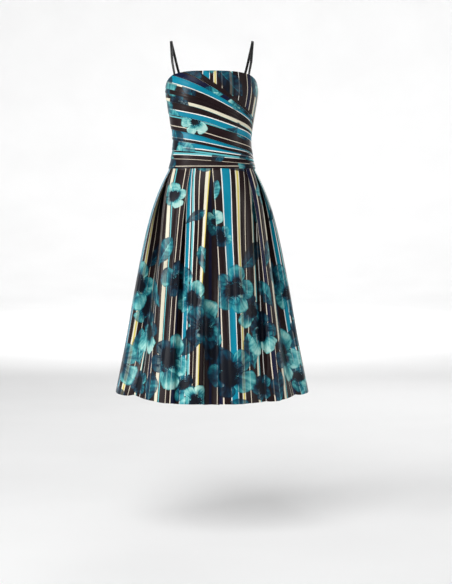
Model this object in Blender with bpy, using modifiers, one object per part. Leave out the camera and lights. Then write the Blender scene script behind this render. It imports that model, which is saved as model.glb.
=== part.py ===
"""A bustier dress as it is worn, hollow: a lined bodice under a fan of lapped pleats, two thin
straps, a skirt in knife pleats that face the centre front, and a zip down the centre back.

Metres, +Z up. The front faces -Y and the wearer's left is +X. The origin is midway between the
crests of the two straps, where they lie on the shoulders.
"""

import math

import bmesh
import bpy
from mathutils import Vector

# Walls and clearances
SEAM_GAP = 0.0003
BODICE_WALL = 0.0016
DRAPE_WALL = 0.0012
SKIRT_WALL = 0.0012
STRAP_WALL = 0.0012
TAPE_WALL = 0.0008

# Heights
WAIST_SEAM = -0.388
SKIRT_LENGTH = 0.7090

# Torso sections: height, half width at the side seams, depth in front, depth behind, cup fullness
TORSO = (
    (-0.384, 0.1325, 0.0980, 0.0920, 0.0000),
    (-0.360, 0.1262, 0.0930, 0.0870, 0.0000),
    (-0.330, 0.1216, 0.0890, 0.0830, 0.0000),
    (-0.300, 0.1203, 0.0880, 0.0820, 0.0000),
    (-0.270, 0.1232, 0.0900, 0.0830, 0.0005),
    (-0.240, 0.1287, 0.0950, 0.0860, 0.0020),
    (-0.210, 0.1338, 0.1020, 0.0900, 0.0050),
    (-0.180, 0.1388, 0.1090, 0.0940, 0.0080),
    (-0.155, 0.1418, 0.1120, 0.0970, 0.0085),
    (-0.130, 0.1408, 0.1110, 0.0990, 0.0060),
    (-0.090, 0.1385, 0.1050, 0.1000, 0.0020),
)
CUP_SIDE = 0.068
CUP_SPREAD = 0.040
TORSO_SQUARENESS = 2.3

BACK_COLUMNS = 12
BACK_ROWS = 9
SEAM_BAND = 0.004

# Top edge of the bodice: angle from the centre front in degrees, height
TOP_EDGE = (
    (0, -0.0967),
    (35, -0.0990),
    (50, -0.1030),
    (61, -0.1085),
    (67, -0.1145),
    (73, -0.1220),
    (79, -0.1290),
    (84, -0.1350),
    (90, -0.1405),
    (110, -0.1480),
    (140, -0.1515),
    (180, -0.1520),
)

# Skirt sections: share of the skirt's length below the seam, half width, depth in front, depth behind
SKIRT = (
    (0.005, 0.1325, 0.0980, 0.0920),
    (0.05, 0.1470, 0.1090, 0.1035),
    (0.12, 0.1670, 0.1240, 0.1195),
    (0.20, 0.1860, 0.1370, 0.1340),
    (0.30, 0.2040, 0.1520, 0.1500),
    (0.44, 0.2245, 0.1680, 0.1670),
    (0.58, 0.2430, 0.1820, 0.1815),
    (0.72, 0.2600, 0.1940, 0.1940),
    (0.87, 0.2800, 0.2070, 0.2070),
    (1.00, 0.2985, 0.2180, 0.2180),
)
SKIRT_ROWS = (0, 0.005, 0.018, 0.04, 0.08, 0.13, 0.19, 0.26, 0.34, 0.43, 0.53, 0.64, 0.76, 0.88, 1)

# Pleats of each half of the skirt, from the centre front: place of the fold edge round the waist seam,
# depth of the fold, share of that half's flare, swing of the fold in degrees at mid length and at the hem
PLEATS = {
    "left": (
        (0.0000, 0.0250, 0.062, 30, 36),
        (0.1100, 0.0360, 0.140, 38, 62),
        (0.1545, 0.0600, 0.256, 48, 72),
        (0.2240, 0.0630, 0.271, 42, 70),
        (0.2960, 0.0630, 0.271, 44, 70),
    ),
    "right": (
        (0.0000, 0.0250, 0.062, 30, 36),
        (0.0640, 0.0240, 0.060, 50, 60),
        (0.1450, 0.0718, 0.310, 42, 68),
        (0.2210, 0.0660, 0.284, 46, 72),
        (0.2930, 0.0660, 0.284, 40, 70),
    ),
}
LAYER = 0.0024
FOLD_SWING = 2.0
FOLD_SINK = 0.004
HEM_ROUND = 0.012
ROLL_AT_WAIST = 0.013
ROLL_BELOW = 0.023
CENTRE_RECESS = 0.036
PANEL_POINTS = 3
SIDE_POINTS = 2

# Lines across the bodice front, each from the top edge or the right side seam to the left side
# seam: angle and height where it starts, height where it ends, how much it steepens, and how far
# the pleat above it stands out at it. The drape starts at line DRAPE_TOP.
FRONT_LINES = (
    (60, -0.1080, -0.1405, 1.10, 0.0),
    (28, -0.0983, -0.1790, 1.00, 0.0),
    (0, -0.0967, -0.2160, 1.00, 0.0),
    (-22, -0.0977, -0.2565, 1.00, 0.3),
    (-42, -0.1000, -0.2625, 1.12, 0.5),
    (-62, -0.1076, -0.2680, 1.25, 0.8),
    (-76, -0.1210, -0.2705, 1.30, 0.4),
    (-90, -0.1405, -0.2730, 1.35, 0.6),
    (-90, -0.1560, -0.2790, 1.40, 0.8),
    (-90, -0.1810, -0.2900, 1.42, 0.9),
    (-90, -0.2215, -0.3130, 1.40, 0.8),
    (-90, -0.2650, -0.3470, 1.20, 1.3),
    (-90, -0.2985, -0.3585, 1.25, 0.9),
    (-90, -0.3310, -0.3690, 1.30, 0.8),
    (-90, -0.3580, -0.3785, 1.30, 0.9),
    (-90, -0.3880, -0.3880, 1.00, 0.3),
)
DRAPE_TOP = 3
PANEL_ROWS = 3
FRONT_COLUMNS = 20
PLEAT_RELIEF = 0.0032
PLEAT_ROWS = ((0.05, 0.0), (0.45, 0.6), (0.92, 1.0))
SIDE_ANGLE = math.pi / 2 - SEAM_GAP / 2 / TORSO[0][1]

# Straps
STRAP_WIDTH = 0.008
STRAP_TUCK = 0.012
STRAP_FRONT_X = 0.1160
STRAP_BACK_X = 0.0860
STRAP_ROWS = 30
STRAP_CLEAR = 0.0014

# Zip
ZIP_BELOW_WAIST = 0.115
ZIP_TAPE_HALF = 0.008
SLIDER_BELOW_TOP = 0.012
SLIDER_SIZE = (0.0066, 0.0020, 0.0100)
BRIDGE_WIDTH = 0.0016
BRIDGE_HEIGHT = 0.0029
BRIDGE_LENGTH = 0.0070
BRIDGE_WALL = 0.0010
PULL_LENGTH = 0.0220
PULL_WIDTH = 0.0050
PULL_WALL = 0.0011
PULL_EYE = (0.0030, 0.0045)
PULL_BAR = 0.0012
PULL_HANG = 0.0015


# Curves through the tables above


def smooth(t):
    t = min(1.0, max(0.0, t))
    return t * t * (3 - 2 * t)


def between(rows, x):
    """The other columns of rows at x, on a smooth curve through the rows."""
    if x <= rows[0][0]:
        return list(rows[0][1:])
    if x >= rows[-1][0]:
        return list(rows[-1][1:])
    k = max(i for i in range(len(rows) - 1) if rows[i][0] <= x)
    low, high = rows[k], rows[k + 1]
    before, after = rows[max(k - 1, 0)], rows[min(k + 2, len(rows) - 1)]
    step = high[0] - low[0]
    t = (x - low[0]) / step
    found = []
    for c in range(1, len(low)):
        rise_low = (high[c] - before[c]) / (high[0] - before[0]) * step
        rise_high = (after[c] - low[c]) / (after[0] - low[0]) * step
        found.append(
            (2 * t**3 - 3 * t**2 + 1) * low[c]
            + (t**3 - 2 * t**2 + t) * rise_low
            + (3 * t**2 - 2 * t**3) * high[c]
            + (t**3 - t**2) * rise_high
        )
    return found


def oval(angle, half_width, front, back, squareness):
    """A point of a torso-like section, at an angle from the centre front towards +X."""
    across, along = math.sin(angle), -math.cos(angle)
    depth = front if along < 0 else back
    reach = (abs(across) / half_width) ** squareness + (abs(along) / depth) ** squareness
    radius = reach ** (-1 / squareness)
    return radius * across, radius * along


# The bodice


def torso(angle, height):
    """A point of the bodice's outer face. The cups fill out the front beside the centre."""
    half_width, front, back, fullness = between(TORSO, height)
    x, y = oval(angle, half_width, front, back, TORSO_SQUARENESS)
    if y < 0:
        cup = math.exp(-(((abs(x) - CUP_SIDE) / CUP_SPREAD) ** 2))
        y -= fullness * cup * smooth(-y / 0.05)
    return Vector((x, y, height))


def torso_normal(angle, height):
    step = 1e-4
    across = torso(angle + step, height) - torso(angle - step, height)
    up = torso(angle, height + step) - torso(angle, height - step)
    return across.cross(up).normalized()


def on_torso(angle, height, out):
    """A point at a distance out from the bodice's outer face, which is negative inside it."""
    return torso(angle, height) + torso_normal(angle, height) * out


def top_edge(angle):
    return between(TOP_EDGE, abs(math.degrees(angle)))[0]


def torso_angle(x, height, behind=False):
    """The angle, at +X, where the bodice reaches x at that height."""
    low, high = (math.pi / 2, math.pi) if behind else (0.0, math.pi / 2)
    for _ in range(40):
        middle = (low + high) / 2
        if (torso(middle, height).x < x) != behind:
            low = middle
        else:
            high = middle
    return (low + high) / 2


# The skirt


class Ring:
    """The skirt's outline at one level, measured along its edge from the centre front."""

    def __init__(self, fall, steps=360):
        half_width, front, back = between(SKIRT, fall)
        squareness = TORSO_SQUARENESS + (2.0 - TORSO_SQUARENESS) * smooth(fall / 0.4)
        self.points = [
            Vector(oval(math.pi * i / steps, half_width, front, back, squareness))
            for i in range(steps + 1)
        ]
        self.along = [0.0]
        for a, b in zip(self.points, self.points[1:]):
            self.along.append(self.along[-1] + (b - a).length)
        self.half = self.along[-1]
        self.side = self.along[steps // 2]

    def at(self, along, depth):
        """The point that far round the edge towards +X, and that deep inside it."""
        along = min(max(along, -self.half), self.half)
        distance = abs(along)
        low, high = 0, len(self.along) - 1
        while high - low > 1:
            middle = (low + high) // 2
            if self.along[middle] <= distance:
                low = middle
            else:
                high = middle
        a, b = self.points[low], self.points[high]
        t = (distance - self.along[low]) / (self.along[high] - self.along[low])
        point = a.lerp(b, t)
        way = (b - a).normalized()
        before = self.points[max(low - 1, 0)]
        after = self.points[min(high + 1, len(self.points) - 1)]
        way = (a - before).normalized().lerp(way, 0.5 + t / 2) if t < 0.5 and low else way
        way = way.lerp((after - b).normalized(), t / 2) if t >= 0.5 and after != b else way
        way.normalize()
        point = point + Vector((-way.y, way.x)) * depth
        return Vector((math.copysign(point.x, along) if along else 0.0, point.y))


def fold_points(start, edge, pleat, fall, base):
    """The hidden cloth of a pleat, from where it dips under to its fold edge, as (along, depth)."""
    _, fold, _, middle_swing, hem_swing = pleat
    swing = FOLD_SWING + (middle_swing - FOLD_SWING) * smooth(fall / 0.35)
    swing = math.radians(swing + (hem_swing - middle_swing) * smooth((fall - 0.35) / 0.65))
    crease = Vector((edge, base))
    begin = Vector(start)
    apart_half = (crease - begin).length / 2
    lean = Vector((math.cos(swing), math.sin(swing)))
    turn = (begin + crease) / 2 + lean * math.sqrt(fold**2 - apart_half**2)
    aside = Vector((-lean.y, lean.x)) * LAYER / 2
    turn_in = turn - lean * LAYER / 2 + aside
    turn_out = turn - lean * LAYER / 2 - aside
    round_off = LAYER / 2 + (HEM_ROUND - LAYER / 2) * smooth(fall / 0.8)
    way = (turn_out - crease).normalized()
    lift = max(LAYER - round_off * way.y, 0.0)
    under = crease + way * round_off + Vector((0, lift))
    front = crease + Vector((round_off, 0))
    middle = (under + front) / 2
    corner = middle.lerp(crease + Vector((0, lift / 2)), 1 - 0.6 * max(way.y, 0.0))
    return [
        begin,
        begin.lerp(turn_in, 0.5),
        turn_in,
        turn_out,
        turn_out.lerp(under, 0.5),
        under,
        corner,
        front,
    ]


def half_section(side, fall, ring, waist):
    """One half of the skirt's section, from the centre front to the centre back, as (along, depth).
    Returns it with the index of its point at the side seam."""
    base = SKIRT_WALL / 2
    flare = ring.half - waist.half
    pleats = PLEATS[side]
    sink = base + 2 * LAYER + FOLD_SINK * smooth(fall / 0.15) * (1 - smooth((fall - 0.5) / 0.5))
    roll = ROLL_AT_WAIST + (ROLL_BELOW - ROLL_AT_WAIST) * smooth(fall / 0.3)
    recess = 2 * LAYER + (CENTRE_RECESS - 2 * LAYER) * smooth(fall / 0.9)
    edge = SKIRT_WALL + pleats[0][2] * flare
    found = fold_points((0.0, base + recess), edge, pleats[0], fall, base)
    for number, pleat in enumerate(pleats):
        last = number == len(pleats) - 1
        next_place = waist.half if last else pleats[number + 1][0]
        start = ring.half if last else edge + next_place - pleat[0]
        end = start if last else start - roll
        first = found[-1].x
        if pleat[0] < waist.side < next_place:
            side_place = edge + waist.side - pleat[0]
            found += panel(first, side_place, SIDE_POINTS, base)
            seam = len(found) - 1
            found += panel(side_place, end, SIDE_POINTS, base)
        else:
            found += panel(first, end, PANEL_POINTS, base)
        if not last:
            found.append(Vector((start - roll * 0.4, base + (sink - base) * 0.35)))
            edge = start + pleats[number + 1][2] * flare
            found += fold_points((start, sink), edge, pleats[number + 1], fall, base)
    return found, seam


def panel(first, end, points, base):
    """Points along a plain panel, after first and up to end."""
    return [
        Vector((first + (end - first) * (i + 1) / points, base)) for i in range(points)
    ]


def skirt_columns():
    """Each column of the skirt's cloth as a list of worn points, from the waist seam to the hem.
    The keys give the runs of columns for the front and for each half of the back."""
    waist = Ring(0.0)
    levels = [Ring(fall) for fall in SKIRT_ROWS]
    runs = {"left": [], "right": []}
    seams = {}
    for side, turned in (("left", 1), ("right", -1)):
        for fall, ring in zip(SKIRT_ROWS, levels):
            section, seams[side] = half_section(side, fall, ring, waist)
            ring_points = []
            for place in section:
                point = ring.at(place.x, place.y)
                ring_points.append(Vector((point.x * turned, point.y)))
            runs[side].append(ring_points)
    columns = {side: hung(list(zip(*rows))) for side, rows in runs.items()}
    left, right = columns["left"], columns["right"]
    return {
        "skirt_front": right[seams["right"] : 0 : -1] + left[: seams["left"] + 1],
        "skirt_back_left": left[seams["left"] :],
        "skirt_back_right": right[: seams["right"] - 1 : -1],
    }


def hung(columns):
    """Gives each column its heights, so that the cloth keeps its length from the seam down."""
    found = []
    for column in columns:
        height = WAIST_SEAM - SEAM_GAP / 2
        points = [Vector((column[0].x, column[0].y, height))]
        for row in range(1, len(column)):
            cloth = (SKIRT_ROWS[row] - SKIRT_ROWS[row - 1]) * SKIRT_LENGTH
            out = min((column[row] - column[row - 1]).length, cloth * 0.95)
            height -= math.sqrt(cloth**2 - out**2)
            points.append(Vector((column[row].x, column[row].y, height)))
        found.append(points)
    return found


def trimmed(columns, at_start, at_end):
    """Draws the first or last column back from its seam by half the gap."""
    columns = [list(column) for column in columns]
    for cut, edge, inner in ((at_start, 0, 1), (at_end, -1, -2)):
        if cut:
            for row, point in enumerate(columns[edge]):
                way = (columns[inner][row] - point).normalized()
                columns[edge][row] = point + way * SEAM_GAP / 2
    return columns


# Blender objects


def material(name, colour, roughness, metallic=0.0):
    made = bpy.data.materials.new(name)
    made.use_nodes = True
    shader = made.node_tree.nodes["Principled BSDF"]
    shader.inputs["Base Color"].default_value = (*colour, 1.0)
    shader.inputs["Roughness"].default_value = roughness
    shader.inputs["Metallic"].default_value = metallic
    return made


def link(name, data, finish, collection):
    piece = bpy.data.objects.new(name, data)
    collection.objects.link(piece)
    data.materials.append(finish)
    return piece


def cloth(name, columns, wall, side, finish, collection):
    """A grid of cloth, whose columns are lists of points from its lower to its upper edge. Its wall
    lies inside the points where side is -1, outside them where it is 1, and about them where it is
    0."""
    across, up = len(columns), len(columns[0])
    sheet = bmesh.new()
    bmesh.ops.create_grid(sheet, x_segments=across - 1, y_segments=up - 1, size=0.5)
    for vertex in sheet.verts:
        column = round((vertex.co.x + 0.5) * (across - 1))
        row = round((vertex.co.y + 0.5) * (up - 1))
        vertex.co = columns[column][row]
    mesh = bpy.data.meshes.new(name)
    sheet.to_mesh(mesh)
    sheet.free()
    piece = link(name, mesh, finish, collection)
    thicken = piece.modifiers.new("Wall", "SOLIDIFY")
    thicken.thickness = wall
    thicken.offset = side
    thicken.use_even_offset = True
    thicken.use_quality_normals = True
    mesh.shade_smooth()
    return piece


def back_panel(name, first, last, finish, collection):
    """A lined back panel between two angles, from the waist seam to the top edge."""
    foot = WAIST_SEAM + SEAM_GAP / 2
    lines = []
    for column in range(BACK_COLUMNS + 1):
        angle = first + (last - first) * column / BACK_COLUMNS
        top = top_edge(angle)
        heights = [foot, foot + SEAM_BAND]
        heights += [heights[1] + (top - heights[1]) * (i + 1) / BACK_ROWS for i in range(BACK_ROWS)]
        lines.append([torso(angle, height) for height in heights])
    return cloth(name, lines, BODICE_WALL, -1, finish, collection)


def front_point(line, bend, out):
    """A point of the bodice front. Line counts the rows of FRONT_LINES, with fractions between them,
    and bend goes from 0 at the line's start to 1 at the left side seam."""
    counted = [(i, *row) for i, row in enumerate(FRONT_LINES)]
    first, start, end, steepen, _ = between(counted, line)
    first = max(math.radians(first), -SIDE_ANGLE)
    if first > -SIDE_ANGLE:
        start = top_edge(first)
    angle = first + (SIDE_ANGLE - first) * bend
    height = start + (end - start) * bend**steepen
    return on_torso(angle, max(height, WAIST_SEAM + SEAM_GAP / 2), out)


def drape_rows():
    """The drape's rows as (line, how far they stand out), from its upper edge to the waist seam."""
    last = len(FRONT_LINES) - 1
    rows = [
        (number + place, rise * FRONT_LINES[number + 1][4])
        for number in range(DRAPE_TOP, last)
        for place, rise in PLEAT_ROWS
    ]
    rows[0] = (DRAPE_TOP, FRONT_LINES[DRAPE_TOP][4])
    return rows + [(last, FRONT_LINES[last][4])]


def front_grid(lines, out):
    """Columns of the bodice front's points along those lines, from the lowest line up."""
    return [
        [front_point(line, column / FRONT_COLUMNS, out) for line in reversed(lines)]
        for column in range(FRONT_COLUMNS + 1)
    ]


def bodice_front(finish, collection):
    """The lined front, whose rows follow the lines of the drape that lies on it."""
    above = [i / PANEL_ROWS for i in range(DRAPE_TOP * PANEL_ROWS)]
    under_drape = [line for line, _ in drape_rows()]
    grid = front_grid(above + under_drape, -(DRAPE_WALL + SEAM_GAP))
    return cloth("bodice_front", grid, BODICE_WALL, -1, finish, collection)


def bodice_drape(finish, collection):
    """The pleated front, laid over the bodice front's own points: a wall that thickens towards the
    lower edge of each pleat and drops back to the next."""
    lines, stands = zip(*drape_rows())
    grid = front_grid(lines, -DRAPE_WALL)
    thickest = DRAPE_WALL + PLEAT_RELIEF * max(stands)
    piece = cloth("bodice_drape", grid, thickest, 1, finish, collection)
    group = piece.vertex_groups.new(name="relief")
    for vertex in piece.data.vertices:
        bend = vertex.index % len(grid) / FRONT_COLUMNS
        stand = stands[-1 - vertex.index // len(grid)]
        fade = 0.4 + 0.6 * smooth(bend / 0.15) * smooth((1 - bend) / 0.12)
        wall = DRAPE_WALL + PLEAT_RELIEF * stand * fade
        group.add([vertex.index], wall / thickest, "REPLACE")
    thicken = piece.modifiers["Wall"]
    thicken.vertex_group = "relief"
    thicken.use_even_offset = False
    return piece


def strap(name, turned, finish, collection):
    """A ribbon from inside the front's top edge, over the shoulder, to inside the back's."""
    behind = -(BODICE_WALL + STRAP_CLEAR + STRAP_WALL / 2)
    inside = behind - DRAPE_WALL - SEAM_GAP
    front_angle = torso_angle(STRAP_FRONT_X, top_edge(math.radians(58)))
    back_angle = torso_angle(STRAP_BACK_X, top_edge(math.radians(140)), behind=True)
    front_top, back_top = top_edge(front_angle), top_edge(back_angle)
    front_way = torso(front_angle + 0.01, front_top) - torso(front_angle - 0.01, front_top)
    back_way = torso(back_angle - 0.01, back_top) - torso(back_angle + 0.01, back_top)
    route = [
        (on_torso(front_angle, front_top - STRAP_TUCK, inside), front_way),
        (on_torso(front_angle, front_top - STRAP_TUCK / 2, inside), front_way),
        (on_torso(front_angle, front_top + 0.002, inside), front_way),
        (Vector((0.1185, -0.0590, -0.068)), Vector((1.0, 0.45, 0.0))),
        (Vector((0.1212, -0.0440, -0.033)), Vector((1.0, 0.25, -0.1))),
        (Vector((0.1232, -0.0220, -0.009)), Vector((1.0, 0.05, -0.2))),
        (Vector((0.1240, 0.0000, -STRAP_WALL / 2)), Vector((1.0, 0.0, -0.24))),
        (Vector((0.1225, 0.0230, -0.010)), Vector((1.0, -0.05, -0.2))),
        (Vector((0.1165, 0.0440, -0.036)), Vector((1.0, -0.15, -0.1))),
        (Vector((0.1050, 0.0640, -0.084)), Vector((1.0, -0.25, 0.0))),
        (on_torso(back_angle, back_top + 0.002, behind), back_way),
        (on_torso(back_angle, back_top - STRAP_TUCK / 2, behind), back_way),
        (on_torso(back_angle, back_top - STRAP_TUCK, behind), back_way),
    ]
    rows, length, last = [], 0.0, route[0][0]
    for point, way in route:
        length += (point - last).length
        last = point
        rows.append((length, *point, *way.normalized()))
    left_edge, right_edge = [], []
    for row in range(STRAP_ROWS + 1):
        found = between(rows, length * row / STRAP_ROWS)
        middle = Vector(found[:3])
        way = Vector(found[3:]).normalized() * STRAP_WIDTH / 2
        left_edge.append(middle - way)
        right_edge.append(middle + way)
    edges = [left_edge, right_edge]
    if turned < 0:
        edges = [[Vector((-p.x, p.y, p.z)) for p in edge] for edge in reversed(edges)]
    return cloth(name, edges, STRAP_WALL, 0, finish, collection)


def zip_tape(skirt, finish, collection):
    """The zip's tape, inside the centre back seam from the top edge to below the waist."""
    inside = -(BODICE_WALL + SEAM_GAP + TAPE_WALL / 2)
    top = top_edge(math.pi) - 0.003
    rows = 9
    lines = []
    for across in (1, 0, -1):
        line = []
        for row in range(rows + 1):
            height = WAIST_SEAM + (top - WAIST_SEAM) * row / rows
            offset = across * ZIP_TAPE_HALF / between(TORSO, height)[2]
            line.append(on_torso(math.pi - offset, height, inside))
        below = []
        for fall_row in range(1, len(SKIRT_ROWS)):
            if SKIRT_ROWS[fall_row] * SKIRT_LENGTH > ZIP_BELOW_WAIST:
                break
            ring = Ring(SKIRT_ROWS[fall_row])
            point = ring.at(
                ring.half - abs(across) * ZIP_TAPE_HALF, SKIRT_WALL + SEAM_GAP + TAPE_WALL / 2
            )
            height = skirt[-1][fall_row].z
            below.append(Vector((point.x * across, point.y, height)))
        lines.append(below[::-1] + line)
    return cloth("zip_tape", lines, TAPE_WALL, 0, finish, collection)


def block(name, size, place, finish, collection):
    bpy.ops.mesh.primitive_cube_add(size=1, location=place, scale=size)
    made = bpy.context.object
    made.name = made.data.name = name
    bpy.ops.object.transform_apply(location=False, rotation=False, scale=True)
    for home in list(made.users_collection):
        home.objects.unlink(made)
    collection.objects.link(made)
    if finish:
        made.data.materials.append(finish)
    return made


def combine(piece, other, operation):
    """Joins other to piece, or cuts it away, and keeps other out of the model."""
    step = piece.modifiers.new(operation.title(), "BOOLEAN")
    step.operation = operation
    step.solver = "EXACT"
    step.object = other
    other.hide_render = True
    other.display_type = "WIRE"


def slider_seat():
    """The point of the centre back seam's outer face where the slider sits, and its tilt."""
    height = top_edge(math.pi) - SLIDER_BELOW_TOP
    normal = torso_normal(math.pi, height)
    return torso(math.pi, height), math.atan2(normal.z, normal.y)


def zip_slider(frame, finish, collection, cutters):
    """The slider's body, with a bridge along it that the pull's bar runs under."""
    wide, thick, tall = SLIDER_SIZE
    lift = SEAM_GAP + thick / 2
    body = block("zip_slider", SLIDER_SIZE, (0, lift, 0), finish, collection)
    body.parent = frame
    rounded = body.modifiers.new("Rounded", "BEVEL")
    rounded.width = thick * 0.3
    rounded.segments = 2
    top = SEAM_GAP + thick
    bridge_size = (BRIDGE_WIDTH, BRIDGE_HEIGHT + thick / 2, BRIDGE_LENGTH)
    middle = top + (BRIDGE_HEIGHT - thick / 2) / 2
    bridge = block("bridge", bridge_size, (0, middle, 0), None, cutters)
    bridge.parent = frame
    under = BRIDGE_HEIGHT - BRIDGE_WALL
    window_size = (BRIDGE_WIDTH * 4, under, BRIDGE_LENGTH - 2 * BRIDGE_WALL)
    window = block("window", window_size, (0, top + under / 2, 0), None, cutters)
    window.parent = frame
    combine(body, bridge, "UNION")
    combine(body, window, "DIFFERENCE")
    return body


def zip_pull(frame, tilt, finish, collection):
    """The pull tab, hanging straight down from its bar under the slider's bridge."""
    outline = bpy.data.curves.new("zip_pull", "CURVE")
    outline.dimensions = "2D"
    outline.fill_mode = "BOTH"
    outline.extrude = PULL_WALL / 2
    eye_wide, eye_tall = PULL_EYE
    top = PULL_BAR / 2
    bottom = top - PULL_LENGTH
    tip = PULL_WIDTH * 0.42
    shoulder = PULL_WIDTH * 0.5
    rim = [(-shoulder, top - 0.0006), (-shoulder + 0.0006, top)]
    rim += [(shoulder - 0.0006, top), (shoulder, top - 0.0006)]
    for step in range(9):
        turn = -math.pi * step / 8
        rim.append((tip * math.cos(turn), bottom + tip + tip * math.sin(turn)))
    eye_top = top - PULL_BAR
    eye = [
        (-eye_wide / 2, eye_top),
        (eye_wide / 2, eye_top),
        (eye_wide / 2, eye_top - eye_tall),
        (-eye_wide / 2, eye_top - eye_tall),
    ]
    for points in (rim, eye):
        spline = outline.splines.new("POLY")
        spline.points.add(len(points) - 1)
        for target, (x, y) in zip(spline.points, points):
            target.co = (x, y, 0, 1)
        spline.use_cyclic_u = True
    tab = link("zip_pull", outline, finish, collection)
    tab.parent = frame
    tab.location = (0, SEAM_GAP + SLIDER_SIZE[1] + (BRIDGE_HEIGHT - BRIDGE_WALL) / 2, -PULL_HANG)
    tab.rotation_euler = (math.pi / 2 + tilt, 0, math.pi)
    return tab


def main():
    for old in list(bpy.data.objects):
        bpy.data.objects.remove(old)
    dress = bpy.data.collections.new("bustier_dress")
    cutters = bpy.data.collections.new("cutters")
    for collection in (dress, cutters):
        bpy.context.scene.collection.children.link(collection)

    print_cloth = material("striped_flower_satin", (0.045, 0.030, 0.032), 0.42)
    drape_cloth = material("striped_satin_on_the_cross", (0.020, 0.160, 0.200), 0.42)
    ribbon = material("black_ribbon", (0.010, 0.010, 0.011), 0.5)
    tape = material("black_tape", (0.012, 0.012, 0.013), 0.8)
    enamel = material("black_enamel", (0.015, 0.015, 0.016), 0.3, 0.4)

    side = math.pi - SIDE_ANGLE
    back = math.pi - SEAM_GAP / 2 / TORSO[0][3]
    bodice_front(print_cloth, dress)
    bodice_drape(drape_cloth, dress)
    back_panel("bodice_back_left", side, back, print_cloth, dress)
    back_panel("bodice_back_right", -back, -side, print_cloth, dress)

    columns = skirt_columns()
    for name, run in columns.items():
        run = trimmed(run, at_start=True, at_end=True)
        upward = [column[::-1] for column in run]
        cloth(name, upward, SKIRT_WALL, 0, print_cloth, dress)

    strap("strap_left", 1, ribbon, dress)
    strap("strap_right", -1, ribbon, dress)

    zip_tape(columns["skirt_back_left"], tape, dress)
    seat, tilt = slider_seat()
    frame = bpy.data.objects.new("slider_seat", None)
    dress.objects.link(frame)
    frame.location = seat
    frame.rotation_euler = (tilt, 0, 0)
    zip_slider(frame, enamel, dress, cutters)
    zip_pull(frame, tilt, enamel, dress)


main()
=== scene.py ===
import bisect
import math

import bmesh
import bpy
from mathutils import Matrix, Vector


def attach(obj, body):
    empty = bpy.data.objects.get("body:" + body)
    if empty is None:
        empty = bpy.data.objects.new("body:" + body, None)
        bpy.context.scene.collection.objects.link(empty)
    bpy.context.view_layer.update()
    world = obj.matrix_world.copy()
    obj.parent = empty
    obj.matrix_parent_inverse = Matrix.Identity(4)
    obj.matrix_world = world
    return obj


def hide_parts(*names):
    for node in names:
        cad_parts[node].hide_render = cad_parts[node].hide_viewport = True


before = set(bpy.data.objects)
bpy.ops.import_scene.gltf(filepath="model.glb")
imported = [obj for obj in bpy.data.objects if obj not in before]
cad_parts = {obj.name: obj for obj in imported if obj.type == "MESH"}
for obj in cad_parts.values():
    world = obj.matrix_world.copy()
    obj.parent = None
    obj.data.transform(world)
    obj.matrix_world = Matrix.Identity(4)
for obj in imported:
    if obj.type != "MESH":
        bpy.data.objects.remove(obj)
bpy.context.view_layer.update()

bl_info = {
    "name": "Bustier dress",
    "version": (1, 0, 0),
    "blender": (4, 5, 0),
    "location": "3D View > Sidebar > Bustier dress",
    "description": "Makes a hollow bustier dress in printed satin, with a pleated front and skirt",
    "category": "Object",
}

FRONT, BACK_LEFT, BACK_RIGHT = "skirt_front", "skirt_back_left", "skirt_back_right"
MILLIMETRE = 0.001

# Walls and gaps of the solids, in metres, and the angle up to which a mesh is shaded as smooth
SEAM_GAP = 0.0003
BODICE_WALL = 0.0016
DRAPE_WALL = 0.0012
SKIRT_WALL = 0.0012
STRAP_WALL = 0.0012
TAPE_WALL = 0.0008
SMOOTH_TO = math.radians(60)

# Heights
WAIST_SEAM = -0.388
SKIRT_LENGTH = 0.7090

# Torso sections: height, half width at the side seams, depth in front, depth behind, cup fullness
TORSO = (
    (-0.384, 0.1325, 0.0980, 0.0920, 0.0000),
    (-0.360, 0.1262, 0.0930, 0.0870, 0.0000),
    (-0.330, 0.1216, 0.0890, 0.0830, 0.0000),
    (-0.300, 0.1203, 0.0880, 0.0820, 0.0000),
    (-0.270, 0.1232, 0.0900, 0.0830, 0.0005),
    (-0.240, 0.1287, 0.0950, 0.0860, 0.0020),
    (-0.210, 0.1338, 0.1020, 0.0900, 0.0050),
    (-0.180, 0.1388, 0.1090, 0.0940, 0.0080),
    (-0.155, 0.1418, 0.1120, 0.0970, 0.0085),
    (-0.130, 0.1408, 0.1110, 0.0990, 0.0060),
    (-0.090, 0.1385, 0.1050, 0.1000, 0.0020),
)
CUP_SIDE = 0.068
CUP_SPREAD = 0.040
CUP_FADE = 0.05
TORSO_SQUARENESS = 2.3
SEAM_BAND = 0.004

# Top edge of the bodice: angle from the centre front in degrees, height
TOP_EDGE = (
    (0, -0.0967),
    (35, -0.0990),
    (50, -0.1030),
    (61, -0.1085),
    (67, -0.1145),
    (73, -0.1220),
    (79, -0.1290),
    (84, -0.1350),
    (90, -0.1405),
    (110, -0.1480),
    (140, -0.1515),
    (180, -0.1520),
)

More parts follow.
